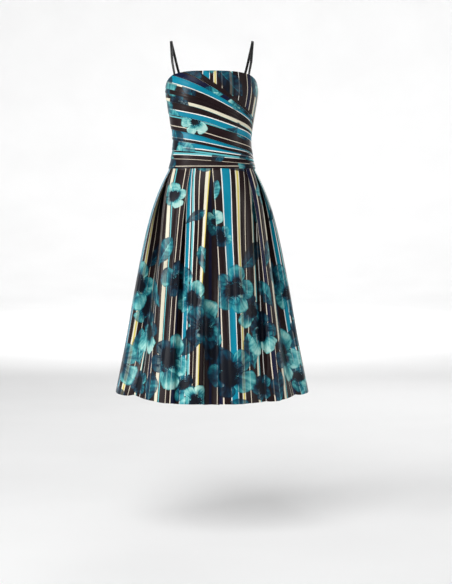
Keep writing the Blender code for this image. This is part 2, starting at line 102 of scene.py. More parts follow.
# Skirt sections: share of the skirt's length below the seam, half width, depth in front and behind
SKIRT = (
    (0.005, 0.1325, 0.0980, 0.0920),
    (0.05, 0.1470, 0.1090, 0.1035),
    (0.12, 0.1670, 0.1240, 0.1195),
    (0.20, 0.1860, 0.1370, 0.1340),
    (0.30, 0.2040, 0.1520, 0.1500),
    (0.44, 0.2245, 0.1680, 0.1670),
    (0.58, 0.2430, 0.1820, 0.1815),
    (0.72, 0.2600, 0.1940, 0.1940),
    (0.87, 0.2800, 0.2070, 0.2070),
    (1.00, 0.2985, 0.2180, 0.2180),
)
SKIRT_ROWS = (
    (0, 0.0025, 0.005, 0.010, 0.018, 0.028, 0.040, 0.058, 0.080, 0.104, 0.130, 0.160, 0.190)
    + (0.225, 0.260, 0.300, 0.340, 0.385, 0.430, 0.480, 0.530, 0.585, 0.640, 0.700, 0.760)
    + (0.820, 0.880, 0.930, 0.953, 0.958, 0.963, 0.980, 0.992, 0.9965, 1)
)

# Pleats of each half of the skirt, from the centre front: place of the fold edge round the waist
# seam, depth of the fold, share of that half's flare, swing in degrees at mid length and at the hem
PLEATS = {
    "left": (
        (0.0000, 0.0250, 0.062, 30, 36),
        (0.1100, 0.0360, 0.140, 38, 62),
        (0.1545, 0.0600, 0.256, 48, 72),
        (0.2240, 0.0630, 0.271, 42, 70),
        (0.2960, 0.0630, 0.271, 44, 70),
    ),
    "right": (
        (0.0000, 0.0250, 0.062, 30, 36),
        (0.0640, 0.0240, 0.060, 50, 60),
        (0.1450, 0.0718, 0.310, 42, 68),
        (0.2210, 0.0660, 0.284, 46, 72),
        (0.2930, 0.0660, 0.284, 40, 70),
    ),
}
LAYER = 0.0024
FOLD_SWING = 2.0
FOLD_SINK = 0.004
HEM_ROUND = 0.012
CORNER_SHARE = 0.6
ROLL_AT_WAIST = 0.013
ROLL_BELOW = 0.023
ROLL_POINT = (0.4, 0.35)
CENTRE_RECESS = 0.036
PANEL_POINTS = 7
SIDE_POINTS = 4
RING_STEPS = 360
HALVINGS = 40
MOST_SPREAD = 0.95

# Shares of the skirt's length by which, or from which, the sections and folds have changed
OVAL_BY = 0.4
MIDDLE_SWING_BY = 0.35
ROUND_BY = 0.8
SINK_BY = 0.15
SINK_FADES_FROM = 0.5
ROLL_BY = 0.3
RECESS_BY = 0.9

# How much of a crease the cloth of a fold takes: where it dips under, and inside it
SHALLOW_FOLD = 0.040
SHALLOW_DIP = (0.9, 0.85)
SHALLOW_SHARE = 0.8
DEEP_DIP = (0.5, 0.2)
DEEP_SHARE = 0.0

# Soft creases of the skirt, by the place on the flat cloth in metres: across and down at each end,
# half width, and how far the cloth stands out, or in where negative
SKIRT_CREASES = (
    (0.000, 0.010, 0.000, 0.709, 0.0130, -0.0075),
    (-0.136, 0.006, -0.136, 0.709, 0.0110, -0.0085),
    (0.196, 0.006, 0.197, 0.709, 0.0110, -0.0070),
    (-0.312, 0.030, -0.314, 0.700, 0.0120, -0.0060),
    (0.327, 0.030, 0.328, 0.690, 0.0120, -0.0060),
    (0.112, 0.020, 0.110, 0.640, 0.0100, 0.0064),
    (0.090, 0.060, 0.086, 0.600, 0.0085, -0.0048),
    (0.134, 0.050, 0.136, 0.520, 0.0085, -0.0044),
    (0.158, 0.020, 0.162, 0.440, 0.0080, 0.0038),
    (0.064, 0.200, 0.062, 0.709, 0.0060, 0.0036),
    (0.078, 0.300, 0.078, 0.709, 0.0050, -0.0030),
    (0.132, 0.440, 0.136, 0.709, 0.0100, -0.0052),
    (0.256, 0.040, 0.258, 0.540, 0.0085, -0.0040),
    (0.284, 0.180, 0.286, 0.709, 0.0110, 0.0048),
    (0.356, 0.120, 0.354, 0.620, 0.0100, -0.0040),
    (-0.066, 0.040, -0.066, 0.520, 0.0080, -0.0044),
    (-0.088, 0.100, -0.084, 0.709, 0.0065, 0.0044),
    (-0.072, 0.340, -0.070, 0.709, 0.0050, -0.0026),
    (-0.108, 0.260, -0.108, 0.709, 0.0080, -0.0036),
    (-0.176, 0.040, -0.180, 0.460, 0.0085, 0.0042),
    (-0.198, 0.120, -0.203, 0.709, 0.0115, -0.0064),
    (-0.224, 0.060, -0.230, 0.560, 0.0065, 0.0044),
    (-0.242, 0.380, -0.246, 0.709, 0.0055, 0.0030),
    (-0.250, 0.260, -0.254, 0.709, 0.0110, -0.0050),
    (-0.280, 0.100, -0.282, 0.600, 0.0100, 0.0040),
    (-0.350, 0.140, -0.352, 0.709, 0.0110, -0.0046),
    (0.450, 0.100, 0.456, 0.600, 0.0095, 0.0040),
    (0.476, 0.060, 0.480, 0.420, 0.0080, -0.0036),
    (0.560, 0.200, 0.566, 0.709, 0.0110, -0.0050),
    (0.650, 0.160, 0.646, 0.709, 0.0100, 0.0044),
    (0.686, 0.040, 0.690, 0.420, 0.0080, -0.0036),
    (-0.448, 0.060, -0.454, 0.500, 0.0090, -0.0042),
    (-0.474, 0.200, -0.470, 0.709, 0.0100, 0.0044),
    (-0.570, 0.120, -0.564, 0.640, 0.0110, -0.0048),
    (-0.640, 0.080, -0.644, 0.540, 0.0095, 0.0040),
    (-0.690, 0.120, -0.696, 0.480, 0.0080, -0.0036),
)

# A crease's reach in half widths, the share of its length over which it fades, its strength at
# its tips, and how far below the waist seam the skirt's creases have come in
CREASE_REACH = 3
CREASE_FADE = 0.3
CREASE_TIP = 0.02
CREASES_BELOW_WAIST = 0.05

# Lines across the bodice front, each from the top edge or the right side seam to the left side
# seam: angle and height where it starts, height where it ends, how much it steepens, and how far
# the pleat above it stands out at it
FRONT_LINES = (
    (60, -0.1080, -0.1405, 1.10, 0.0),
    (28, -0.0983, -0.1790, 1.00, 0.0),
    (0, -0.0967, -0.2160, 1.00, 0.0),
    (-22, -0.0977, -0.2565, 1.00, 0.3),
    (-42, -0.1000, -0.2625, 1.12, 0.5),
    (-62, -0.1076, -0.2680, 1.25, 0.8),
    (-76, -0.1210, -0.2705, 1.30, 0.4),
    (-90, -0.1405, -0.2730, 1.35, 0.6),
    (-90, -0.1560, -0.2790, 1.40, 0.8),
    (-90, -0.1810, -0.2900, 1.42, 0.9),
    (-90, -0.2215, -0.3130, 1.40, 0.8),
    (-90, -0.2650, -0.3470, 1.20, 1.3),
    (-90, -0.2985, -0.3585, 1.25, 0.9),
    (-90, -0.3310, -0.3690, 1.30, 0.8),
    (-90, -0.3580, -0.3785, 1.30, 0.9),
    (-90, -0.3880, -0.3880, 1.00, 0.3),
)
DRAPE_TOP = 3
WAIST_LINE = len(FRONT_LINES) - 1
FRONT_COLUMNS = 80
BENDS = [column / FRONT_COLUMNS for column in range(FRONT_COLUMNS + 1)]
LINING_ROWS = 4
SIDE_ANGLE = math.pi / 2 - SEAM_GAP / 2 / TORSO[0][1]

# Profile of one lapped pleat: share of the way down it, share of its relief
PLEAT_PROFILE = (
    (0.00, 0.00),
    (0.04, 0.02),
    (0.14, 0.12),
    (0.28, 0.30),
    (0.44, 0.52),
    (0.60, 0.74),
    (0.75, 0.91),
    (0.87, 1.00),
    (0.95, 0.98),
    (0.985, 0.82),
    (0.997, 0.50),
)
PLEAT_RELIEF = 0.0034
FULL_RELIEF_FROM = 0.010
TOP_RISE = 0.4
WAIST_RISE = 0.2
END_RELIEF = 0.35
END_FADES = (0.12, 0.10)
NEAR_COLUMNS = 14

# Where each pleat of the drape lies on the print, at its lower edge: across the stripes, and down
DRAPE_STRIPES = (
    (0.0215, 0.0505, 0.0995, 0.1375, 0.1620, 0.1755)
    + (0.3742, 0.3155, 0.1075, 0.3845, 0.4000, 0.0280)
)
DRAPE_FLOWERS = (0.60, 0.67, 0.70, 0.58, 0.62, 0.57, 0.64, 0.71, 0.66, 0.61, 0.69, 0.59)

# Pull lines of the drape: line and bend at each end, half width in lines, how far it stands out
DRAPE_CREASES = (
    (3.7, 0.35, 4.5, 0.95, 0.16, 0.0009),
    (5.3, 0.10, 6.4, 0.80, 0.20, -0.0010),
    (8.4, 0.30, 8.7, 0.97, 0.14, 0.0011),
    (9.3, 0.05, 9.6, 0.62, 0.16, 0.0013),
    (9.6, 0.52, 9.3, 0.98, 0.12, -0.0010),
    (10.3, 0.15, 10.6, 0.90, 0.13, -0.0012),
    (10.7, 0.40, 10.5, 0.99, 0.10, 0.0010),
    (11.4, 0.05, 11.7, 0.55, 0.16, 0.0010),
    (12.4, 0.25, 12.6, 0.92, 0.15, -0.0009),
    (13.5, 0.10, 13.3, 0.70, 0.16, 0.0010),
    (14.5, 0.30, 14.4, 0.95, 0.16, -0.0008),
)

# Creases of the flat bodice panels, as those of the skirt
BODICE_CREASES = (
    (-0.012, -0.104, 0.030, -0.106, 0.0024, -0.0022),
    (-0.010, -0.109, 0.028, -0.111, 0.0030, 0.0012),
    (0.300, -0.330, 0.380, -0.322, 0.0060, 0.0016),
    (0.270, -0.300, 0.350, -0.296, 0.0050, -0.0013),
    (-0.370, -0.325, -0.290, -0.333, 0.0060, 0.0016),
    (-0.350, -0.296, -0.275, -0.301, 0.0050, -0.0013),
)
BACK_COLUMNS = 36
BACK_ROWS = 44
RADIUS_OF_PRINT = 0.125
BODICE_SHIFT = (0.105, 0.400)

# Straps
STRAP_WIDTH = 0.008
STRAP_TUCK = 0.012
STRAP_ABOVE = 0.002
STRAP_FRONT_X = 0.1160
STRAP_BACK_X = 0.0860
STRAP_FRONT_ANGLE = math.radians(58)
STRAP_BACK_ANGLE = math.radians(140)
STRAP_TURN = 0.01
STRAP_ROWS = 96
STRAP_CLEAR = 0.0014
STRAP_ACROSS = 6

# The left strap over the shoulder, from front to back: its middle, and the way across it
STRAP_ROUTE = (
    ((0.1185, -0.0590, -0.068), (1.0, 0.45, 0.0)),
    ((0.1212, -0.0440, -0.033), (1.0, 0.25, -0.1)),
    ((0.1232, -0.0220, -0.009), (1.0, 0.05, -0.2)),
    ((0.1240, 0.0000, -STRAP_WALL / 2), (1.0, 0.0, -0.24)),
    ((0.1225, 0.0230, -0.010), (1.0, -0.05, -0.2)),
    ((0.1165, 0.0440, -0.036), (1.0, -0.15, -0.1)),
    ((0.1050, 0.0640, -0.084), (1.0, -0.25, 0.0)),
)

# Zip tape
ZIP_BELOW_WAIST = 0.115
ZIP_TAPE_HALF = 0.008
ZIP_TOP_GAP = 0.003
ZIP_ROWS = 40
ZIP_ACROSS = (-1, -0.5, 0, 0.5, 1)

# Colours by name, as 8-bit sRGB
COLOURS = {
    "ground": (27, 14, 16),
    "navy": (12, 15, 46),
    "teal": (0, 122, 147),
    "aqua": (88, 172, 178),
    "cream": (214, 208, 186),
    "ecru": (214, 204, 184),
    "white": (230, 230, 224),
    "yellow": (198, 182, 84),
    "lining": (22, 19, 22),
    "ribbon": (14, 13, 15),
    "worn": (52, 50, 50),
}

# The print's stripes across one repeat: width in millimetres, colour
STRIPES = (
    ((20, "ground"), (2, "ecru"), (13, "ground"), (14, "navy"), (2, "ecru"), (22, "ground"))
    + ((2.5, "white"), (21, "teal"), (2.5, "white"), (12, "ground"), (3, "cream"), (5, "yellow"))
    + ((3, "cream"), (16, "ground"), (2, "ecru"), (24, "ground"), (8, "cream"), (3, "aqua"))
    + ((18, "ground"), (2, "white"), (26, "ground"), (2, "ecru"), (14, "navy")),
    ((2, "ecru"), (20, "ground"), (11, "cream"), (3, "ground"), (3, "aqua"), (24, "ground"))
    + ((2, "ecru"), (12, "ground"), (2, "ecru"), (17, "navy"), (22, "ground"), (2.5, "white"))
    + ((14, "teal"), (2.5, "white"), (5, "ground"), (5, "aqua"), (2, "white"), (10, "ground"))
    + ((2, "ecru"), (12, "ground"), (8, "cream"), (2.5, "yellow"), (14, "ground"), (2, "ecru"))
    + ((27, "ground"), (10, "navy")),
)

# The print's flowers in one repeat: across, down, radius, turn in degrees, seed and tone as
# whole number and fraction
PRINT_HEIGHT = 0.740
SEED_SCALE = 1000.0
FLOWERS = (
    (-0.150, 0.345, 0.060, 20, 1.18),
    (0.095, 0.372, 0.068, 75, 2.28),
    (-0.030, 0.480, 0.074, 140, 3.08),
    (0.196, 0.500, 0.064, 10, 4.20),
    (-0.168, 0.580, 0.070, 55, 5.24),
    (0.070, 0.615, 0.074, 110, 6.06),
    (-0.064, 0.700, 0.048, 200, 7.34),
    (0.022, 0.165, 0.042, 160, 9.26),
    (-0.195, 0.085, 0.034, 80, 10.36),
)
FLOWERS_BEHIND = (
    (-0.085, 0.400, 0.050, 200, 21.16),
    (0.150, 0.430, 0.048, 15, 22.08),
    (0.014, 0.545, 0.050, 130, 24.04),
    (-0.112, 0.650, 0.046, 250, 25.14),
    (0.178, 0.668, 0.044, 40, 26.18),
    (0.062, 0.210, 0.034, 120, 27.14),
)

# Leaves and buds in one repeat: across, down, half length, turn in degrees, seed and tone
LEAVES = (
    (-0.215, 0.262, 0.044, 62, 1.52),
    (-0.050, 0.285, 0.042, 110, 2.62),
    (0.165, 0.270, 0.048, 50, 3.25),
    (0.222, 0.390, 0.044, 130, 4.50),
    (-0.100, 0.535, 0.046, 25, 5.20),
    (0.145, 0.555, 0.048, 100, 6.56),
    (-0.232, 0.670, 0.044, 80, 7.40),
    (0.110, 0.722, 0.042, 150, 8.30),
    (0.050, 0.075, 0.030, 75, 9.62),
    (-0.090, 0.150, 0.030, 35, 10.30),
    (0.190, 0.135, 0.034, 100, 11.50),
)

# The print's name, the size of its flowers and leaves, and how much they hide the stripes
PRINT_NAME = "flower_and_stripe_print"
FLOWER_SIZE = 1.18
FLOWER_COVER = 0.80
LEAF_COVER = 0.88

# Wavers of what is painted: scale and detail of the noise, reach in metres
PAINT_WAVERS = ((11.0, 1.0, 0.026), (60.0, 3.0, 0.008))
STRIPE_WAVER_SCALE = 9.0
STRIPE_WAVER = 0.0016
MOTTLE_SCALE = 26.0
MOTTLE_DETAIL = 4.0
INK_MOTTLE = 0.22

# The two rings of a flower: number of petals, turn as a share of a petal, size
OUTER_RING = (5.0, 0.0, 1.0)
INNER_RING = (4.0, 0.5, 0.58)
INNER_SEED = 31.0
INNER_SHADE = -0.14
CHANCE_STEP = 7.3

# A petal's outline. Here and below, an edge is given as from and to, and a shade as from and to
# and the light that it adds before and after
PETAL_LENGTH = 0.70
PETAL_LONGER = 0.34
PETAL_LEAN = 0.22
PETAL_CURVE = 2.8
PETAL_NOTCH = -0.30
PETAL_EDGE = (1.03, 0.98)

# What shades a flower
PETAL_OUTWARD = (0.12, 0.85, -0.24, 0.32)
PETAL_RIM = (0.94, 0.985, 0.0, -0.14)
PETAL_SEAM = (0.46, 0.5, 0.0, -0.20)
PETAL_CHANCE = 0.52
PETAL_STREAK = 0.62
STREAKS_ROUND = 5.0
STREAK_SCALE = 1.7
FLOWER_MOTTLE = 0.85
FLOWER_DOWNWARD = 0.20
HEART_MOTTLE = 0.6
HEART = (0.46, 0.16, 0.0, -0.80)
STAMENS_FROM = (0.08, 0.15)
STAMENS_TO = (0.40, 0.28)
STAMEN_SCALE = 230.0
STAMEN = (0.28, 0.18, 0.0, 0.60)
DARK_TO_LIGHT = (0.20, 0.55)

# A leaf's outline and what shades it
LEAF_WIDTH = 0.46
LEAF_NARROWEST = 0.001
LEAF_TAPER = 0.35
LEAF_EDGE = (1.06, 0.94)
LEAF_SHADE = -0.12
LEAF_UPPER_HALF = 0.16
LEAF_MOTTLE = 1.1
LEAF_VEINS = 22.0
LEAF_VEIN_SLANT = -5.0
LEAF_VEIN_LIGHT = 0.05
LEAF_RIB = (0.10, 0.0, 0.0, 0.22)
LEAF_RIM = (0.80, 1.0, 0.0, -0.18)

# Satin and lining: scales of the threads and slubs across and down, and how they change the gloss
THREADS = (2600.0, 700.0, 1.0)
SLUBS = (40.0, 900.0, 1.0)
SLUB_HEIGHT = 0.5
THREAD_BUMP = 0.0002
GLOSS_SCALE = 25.0
GLOSS_SPREAD = 0.16
GLOSS_OF_SLUBS = 0.06
SATIN_ROUGHNESS = 0.33
SATIN_SHEEN = 0.01
SATIN_GLOSS = 0.18
SATIN_BUMP = 0.25
SHEEN_ROUGHNESS = 0.35
LINING_ROUGHNESS = 0.5
LINING_GLOSS = 0.4
LINING_BUMP = 0.15
DYE_SCALE = 45.0
DYE_DETAIL = 3.0
DYE_STOPS = (0.3, 0.7)
UNEVEN_DYE = 0.82

# Ribbon and tape: roughness, sheen and gloss, ribs and stitches in metres, strength and height of
# the bumps, and how much lighter the stitches and the tape's ribs are painted, as painted sheen
RIBBON_SURFACE = (0.42, 0.05, 0.5)
RIBBON_RIB = 0.0009
RIBBON_RIB_HEIGHT = 0.25
RIBBON_BUMP = (0.4, 0.00025)
STITCH_PLACE = 0.0027
STITCH_EDGE = (0.0004, 0.0001)
STITCH_STEP = 0.0022
STITCH_GAP = 0.0006
STITCH_HEIGHT = 1.6
# A painted sheen: the stitches are mixed this far towards a colour this many times the ribbon's
PAINTED_STITCH_SHEEN = 0.6
PAINTED_STITCH_LIGHTNESS = 2.4
TAPE_SURFACE = (0.75, 0.1, 0.3)
TAPE_ZIGZAG = 0.002
TAPE_RIB = 0.0012
TAPE_BUMP = (0.5, 0.0002)
# A painted highlight: the crests of the tape's ribs are painted this many times lighter
PAINTED_RIB_HIGHLIGHT = 1.8

# Enamel
WEAR_SCALE = 900.0
WEAR_DETAIL = 4.0
WEAR_STOPS = (0.45, 0.75)
WORN_ROUGHNESS = (0.3, 0.8, 0.42, 0.26)
ENAMEL_METALLIC = 0.4

# Watercolour tones from the darkest to the lightest: place, 8-bit sRGB
TONES = (
    (0.00, (7, 11, 22)),
    (0.20, (8, 28, 46)),
    (0.38, (5, 60, 80)),
    (0.54, (12, 100, 114)),
    (0.70, (62, 152, 156)),
    (0.84, (122, 192, 188)),
    (1.00, (176, 218, 210)),
)

# The camera and the room
CAMERA_PLACE = (0.043, -4.4, -0.45)
CAMERA_PITCH = math.radians(4.12)
CAMERA_LENS = 88.1
FLOOR_HEIGHT = -1.52
FLOOR_RADIUS = 9.0
COVE_RADIUS = 5.0
COVE_TOP = 7.0
COVE_TURNS = 96
COVE_STEPS = 12
FLOOR_SCALE = 1.5
FLOOR_TONES = ((0.3, 0.90), (0.7, 0.93))
FLOOR_ROUGHNESS = 0.9
DAYLIGHT = 0.14
OVERHEAD = 1.45
KEY_POWER = 104.0
SUN_ANGLE = math.radians(35)
SUN_TURN = (math.radians(38), math.radians(-14), 0.0)

# Lamps that shine on the dress: name, place, size, share of the key light's power
LAMPS = (
    ("key", (-3.2, -2.3, 0.5), 1.2, 1.0),
    ("fill", (3.4, -2.2, 0.3), 1.4, 0.3),
    ("back", (1.4, 3.4, 1.2), 2.0, 0.4),
)
LIT_POINT = (0.0, 0.0, -0.58)

# Lamps that shine on the wall: turn in degrees, share of the key light's power. Then how far out
# and how high they stand and shine
WALL_LAMPS = ((90, 1.8), (210, 1.0), (330, 1.0))
WALL_LAMP_SIZE = 3.0
WALL_LAMP_AT = (5.0, 2.0)
WALL_LIT_AT = (12.0, -0.6)


# Curves through the tables above


def smooth(t):
    t = min(1.0, max(0.0, t))
    return t * t * (3 - 2 * t)


def glide(start, end, t):
    """Goes smoothly from start to end while t goes from 0 to 1."""
    return start + (end - start) * smooth(t)


def spread(first, last, steps):
    """Evenly spaced numbers from first to last."""
    return [first + (last - first) * i / steps for i in range(steps + 1)]


def between(rows, x):
    """The other columns of rows at x, on a smooth curve through the rows."""
    if x <= rows[0][0]:
        return list(rows[0][1:])
    if x >= rows[-1][0]:
        return list(rows[-1][1:])
    k = max(i for i in range(len(rows) - 1) if rows[i][0] <= x)
    low, high = rows[k], rows[k + 1]
    before, after = rows[max(k - 1, 0)], rows[min(k + 2, len(rows) - 1)]
    step = high[0] - low[0]
    t = (x - low[0]) / step
    found = []
    for c in range(1, len(low)):
        rise_low = (high[c] - before[c]) / (high[0] - before[0]) * step
        rise_high = (after[c] - low[c]) / (after[0] - low[0]) * step
        found.append(
            (2 * t**3 - 3 * t**2 + 1) * low[c]
            + (t**3 - 2 * t**2 + t) * rise_low
            + (3 * t**2 - 2 * t**3) * high[c]
            + (t**3 - t**2) * rise_high
        )
    return found


def oval(angle, half_width, front, back, squareness):
    """A point of a torso-like section, at an angle from the centre front towards +X."""
    across, along = math.sin(angle), -math.cos(angle)
    depth = front if along < 0 else back
    reach = (abs(across) / half_width) ** squareness + (abs(along) / depth) ** squareness
    radius = reach ** (-1 / squareness)
    return radius * across, radius * along


# The bodice's form


def torso(angle, height):
    """A point of the bodice's outer face. The cups fill out the front beside the centre."""
    half_width, front, back, fullness = between(TORSO, height)
    x, y = oval(angle, half_width, front, back, TORSO_SQUARENESS)
    if y < 0:
        cup = math.exp(-(((abs(x) - CUP_SIDE) / CUP_SPREAD) ** 2))
        y -= fullness * cup * smooth(-y / CUP_FADE)
    return Vector((x, y, height))


def torso_normal(angle, height):
    """The way outwards from the bodice's outer face."""
    step = 1e-4
    across = torso(angle + step, height) - torso(angle - step, height)
    up = torso(angle, height + step) - torso(angle, height - step)
    return across.cross(up).normalized()


def on_torso(angle, height, out):
    """A point at a distance out from the bodice's outer face, which is negative inside it."""
    return torso(angle, height) + torso_normal(angle, height) * out


def top_edge(angle):
    return between(TOP_EDGE, abs(math.degrees(angle)))[0]


def torso_angle(x, height, behind=False):
    """The angle, at +X, where the bodice reaches x at that height."""
    low, high = (math.pi / 2, math.pi) if behind else (0.0, math.pi / 2)
    for _ in range(HALVINGS):
        middle = (low + high) / 2
        if (torso(middle, height).x < x) != behind:
            low = middle
        else:
            high = middle
    return (low + high) / 2


def front_angle_height(line, bend):
    """Angle and height of a point of the bodice front, by its line and how far along it is."""
    counted = [(i, *row) for i, row in enumerate(FRONT_LINES)]
    first, start, end, steepen, _ = between(counted, line)
    first = max(math.radians(first), -SIDE_ANGLE)
    if first > -SIDE_ANGLE:
        start = top_edge(first)
    angle = first + (SIDE_ANGLE - first) * bend
    height = start + (end - start) * bend**steepen
    return angle, max(height, WAIST_SEAM + SEAM_GAP / 2)


def front_point(line, bend, out):
    return on_torso(*front_angle_height(line, bend), out)


# The skirt's form


class Ring:
    """The skirt's outline at one level, measured along its edge from the centre front."""

    def __init__(self, fall):
        half_width, front, back = between(SKIRT, fall)
        squareness = glide(TORSO_SQUARENESS, 2.0, fall / OVAL_BY)
        self.points = [
            Vector(oval(angle, half_width, front, back, squareness))
            for angle in spread(0.0, math.pi, RING_STEPS)
        ]
        self.along = [0.0]
        for a, b in zip(self.points, self.points[1:]):
            self.along.append(self.along[-1] + (b - a).length)
        self.half = self.along[-1]
        self.side = self.along[RING_STEPS // 2]

    def at(self, along, depth):
        """The point that far round the edge towards +X, and that deep inside it."""
        along = min(max(along, -self.half), self.half)
        distance = abs(along)
        high = min(bisect.bisect_right(self.along, distance), len(self.along) - 1)
        low = high - 1
        a, b = self.points[low], self.points[high]
        t = (distance - self.along[low]) / (self.along[high] - self.along[low])
        point = a.lerp(b, t)
        way = (b - a).normalized()
        before = self.points[max(low - 1, 0)]
        after = self.points[min(high + 1, len(self.points) - 1)]
        way = (a - before).normalized().lerp(way, 0.5 + t / 2) if t < 0.5 and low else way
        way = way.lerp((after - b).normalized(), t / 2) if t >= 0.5 and after != b else way
        way.normalize()
        point = point + Vector((-way.y, way.x)) * depth
        return Vector((math.copysign(point.x, along) if along else 0.0, point.y))


def fold_points(start, edge, pleat, fall, base):
    """The hidden cloth of a pleat, from where it dips under to its fold edge, as (along, depth)."""
    _, fold, _, middle_swing, hem_swing = pleat
    swing = glide(FOLD_SWING, middle_swing, fall / MIDDLE_SWING_BY)
    below = smooth((fall - MIDDLE_SWING_BY) / (1 - MIDDLE_SWING_BY))
    swing = math.radians(swing + (hem_swing - middle_swing) * below)
    crease = Vector((edge, base))
    begin = Vector(start)
    apart_half = (crease - begin).length / 2
    lean = Vector((math.cos(swing), math.sin(swing)))
    turn = (begin + crease) / 2 + lean * math.sqrt(fold**2 - apart_half**2)
    aside = Vector((-lean.y, lean.x)) * LAYER / 2
    turn_in = turn - lean * LAYER / 2 + aside
    turn_out = turn - lean * LAYER / 2 - aside
    round_off = glide(LAYER / 2, HEM_ROUND, fall / ROUND_BY)
    way = (turn_out - crease).normalized()
    lift = max(LAYER - round_off * way.y, 0.0)
    under = crease + way * round_off + Vector((0, lift))
    front = crease + Vector((round_off, 0))
    middle = (under + front) / 2
    corner = middle.lerp(crease + Vector((0, lift / 2)), 1 - CORNER_SHARE * max(way.y, 0.0))
    inner, outer = begin.lerp(turn_in, 0.5), turn_out.lerp(under, 0.5)
    return [begin, inner, turn_in, turn_out, outer, under, corner, front]


def panel(first, end, points, base):
    """Points along a plain panel, after first and up to end."""
    return [Vector((along, base)) for along in spread(first, end, points)[1:]]


def half_section(side, fall, ring, waist):
    """One half of the skirt's section, from the centre front to the centre back, as (along, depth).
    Returns it with how much of a crease each point takes, and the index at the side seam."""
    base = SKIRT_WALL / 2
    flare = ring.half - waist.half
    pleats = PLEATS[side]
    fading = smooth((fall - SINK_FADES_FROM) / (1 - SINK_FADES_FROM))
    sink = base + 2 * LAYER + FOLD_SINK * smooth(fall / SINK_BY) * (1 - fading)
    roll = glide(ROLL_AT_WAIST, ROLL_BELOW, fall / ROLL_BY)
    recess = glide(2 * LAYER, CENTRE_RECESS, fall / RECESS_BY)
    edge = SKIRT_WALL + pleats[0][2] * flare
    found = fold_points((0.0, base + recess), edge, pleats[0], fall, base)
    creased = [SHALLOW_SHARE] * len(found)
    seam = 0
    for number, pleat in enumerate(pleats):
        last = number == len(pleats) - 1
        next_place = waist.half if last else pleats[number + 1][0]
        start = ring.half if last else edge + next_place - pleat[0]
        end = start if last else start - roll
        first = found[-1].x
        if pleat[0] < waist.side < next_place:
            side_place = edge + waist.side - pleat[0]
            found += panel(first, side_place, SIDE_POINTS, base)
            seam = len(found) - 1
            found += panel(side_place, end, SIDE_POINTS, base)
        else:
            found += panel(first, end, PANEL_POINTS, base)
        creased += [1.0] * (len(found) - len(creased))
        if not last:
            along, deep = ROLL_POINT
            found.append(Vector((start - roll * along, base + (sink - base) * deep)))
            edge = start + pleats[number + 1][2] * flare
            found += fold_points((start, sink), edge, pleats[number + 1], fall, base)
            shallow = pleats[number + 1][1] < SHALLOW_FOLD
            creased += SHALLOW_DIP if shallow else DEEP_DIP
            hidden = SHALLOW_SHARE if shallow else DEEP_SHARE
            creased += [hidden] * (len(found) - len(creased))
    return found, creased, seam


def hung(columns, length):
    """Gives each column its heights, so that the cloth keeps its length from the seam down."""
    found = []
    for column in columns:
        height = WAIST_SEAM - SEAM_GAP / 2
        points = [Vector((column[0].x, column[0].y, height))]
        for row in range(1, len(column)):
            cloth = (SKIRT_ROWS[row] - SKIRT_ROWS[row - 1]) * length
            out = min((column[row] - column[row - 1]).length, cloth * MOST_SPREAD)
            height -= math.sqrt(cloth**2 - out**2)
            points.append(Vector((column[row].x, column[row].y, height)))
        found.append(points)
    return found


def widths(columns):
    """How far each column is from the first, across the cloth, as an average of all rows."""
    found = [0.0]
    for a, b in zip(columns, columns[1:]):
        gaps = [(q - p).length for p, q in zip(a, b)]
        found.append(found[-1] + sum(gaps) / len(gaps))
    return found


def skirt_runs(length):
    """The three cut pieces of the skirt. Each is a list of columns of points from the waist to the
    hem, the place of each column across the print, and how much of a crease each column takes."""
    waist = Ring(0.0)
    levels = [Ring(fall) for fall in SKIRT_ROWS]
    columns, creased, seams, across = {}, {}, {}, {}
    for side, turned in (("left", 1), ("right", -1)):
        rows = []
        for fall, ring in zip(SKIRT_ROWS, levels):
            section, creased[side], seams[side] = half_section(side, fall, ring, waist)
            points = [ring.at(place.x, place.y) for place in section]
            rows.append([Vector((point.x * turned, point.y)) for point in points])
        columns[side] = hung(list(zip(*rows)), length)
        across[side] = [turned * place for place in widths(columns[side])]

    def run(values):
        left, right = values["left"], values["right"]
        return {
            FRONT: right[seams["right"] : 0 : -1] + left[: seams["left"] + 1],
            BACK_LEFT: left[seams["left"] :],
            BACK_RIGHT: right[: seams["right"] - 1 : -1],
        }

    runs, places, shares = run(columns), run(across), run(creased)
    return {name: (runs[name], places[name], shares[name]) for name in runs}


def drawn_back(columns):
    """Draws the first and the last column back from their seams by half the gap."""
    columns = [list(column) for column in columns]
    for edge, inner in ((0, 1), (-1, -2)):
        for row, point in enumerate(columns[edge]):
            way = (columns[inner][row] - point).normalized()
            columns[edge][row] = point + way * SEAM_GAP / 2
    return columns


def crease_at(creases, u, v):
    """How far the creases of a table move the cloth out at a place on it."""
    total = 0.0
    for u0, v0, u1, v1, half_width, depth in creases:
        run = Vector((u1 - u0, v1 - v0))
        away = Vector((u - u0, v - v0))
        share = min(1.0, max(0.0, away.dot(run) / run.length_squared))
        distance = (away - run * share).length / half_width
        if distance < CREASE_REACH:
            ends = smooth(min(share, 1 - share) / CREASE_FADE + CREASE_TIP)
            total += depth * ends * math.exp(-(distance**2))
    return total


# Cloth meshes


def add_object(name, data):
    """Puts a mesh, a lamp or a camera into the scene."""
    made = bpy.data.objects.new(name, data)
    bpy.context.scene.collection.objects.link(made)
    return made


def sheet(name, columns, places):
    """A grid of faces that look outwards. Its columns are points from the upper edge down, and
    places(column, row, low) gives each corner's place on the print, in metres. There, low says that
    the corner is on the lower side of its face."""
    rows = len(columns[0])
    points = [point for column in columns for point in column]
    faces, corners = [], []
    for c in range(len(columns) - 1):
        for r in range(rows - 1):
            around = ((c, r, False), (c, r + 1, True), (c + 1, r + 1, True), (c + 1, r, False))
            faces.append([column * rows + row for column, row, _ in around])
            corners += [places(*corner) for corner in around]
    mesh = bpy.data.meshes.new(name)
    mesh.from_pydata(points, [], faces)
    layer = mesh.uv_layers.new(name="cloth")
    layer.data.foreach_set("uv", [value for corner in corners for value in corner])
    return add_object(name, mesh)


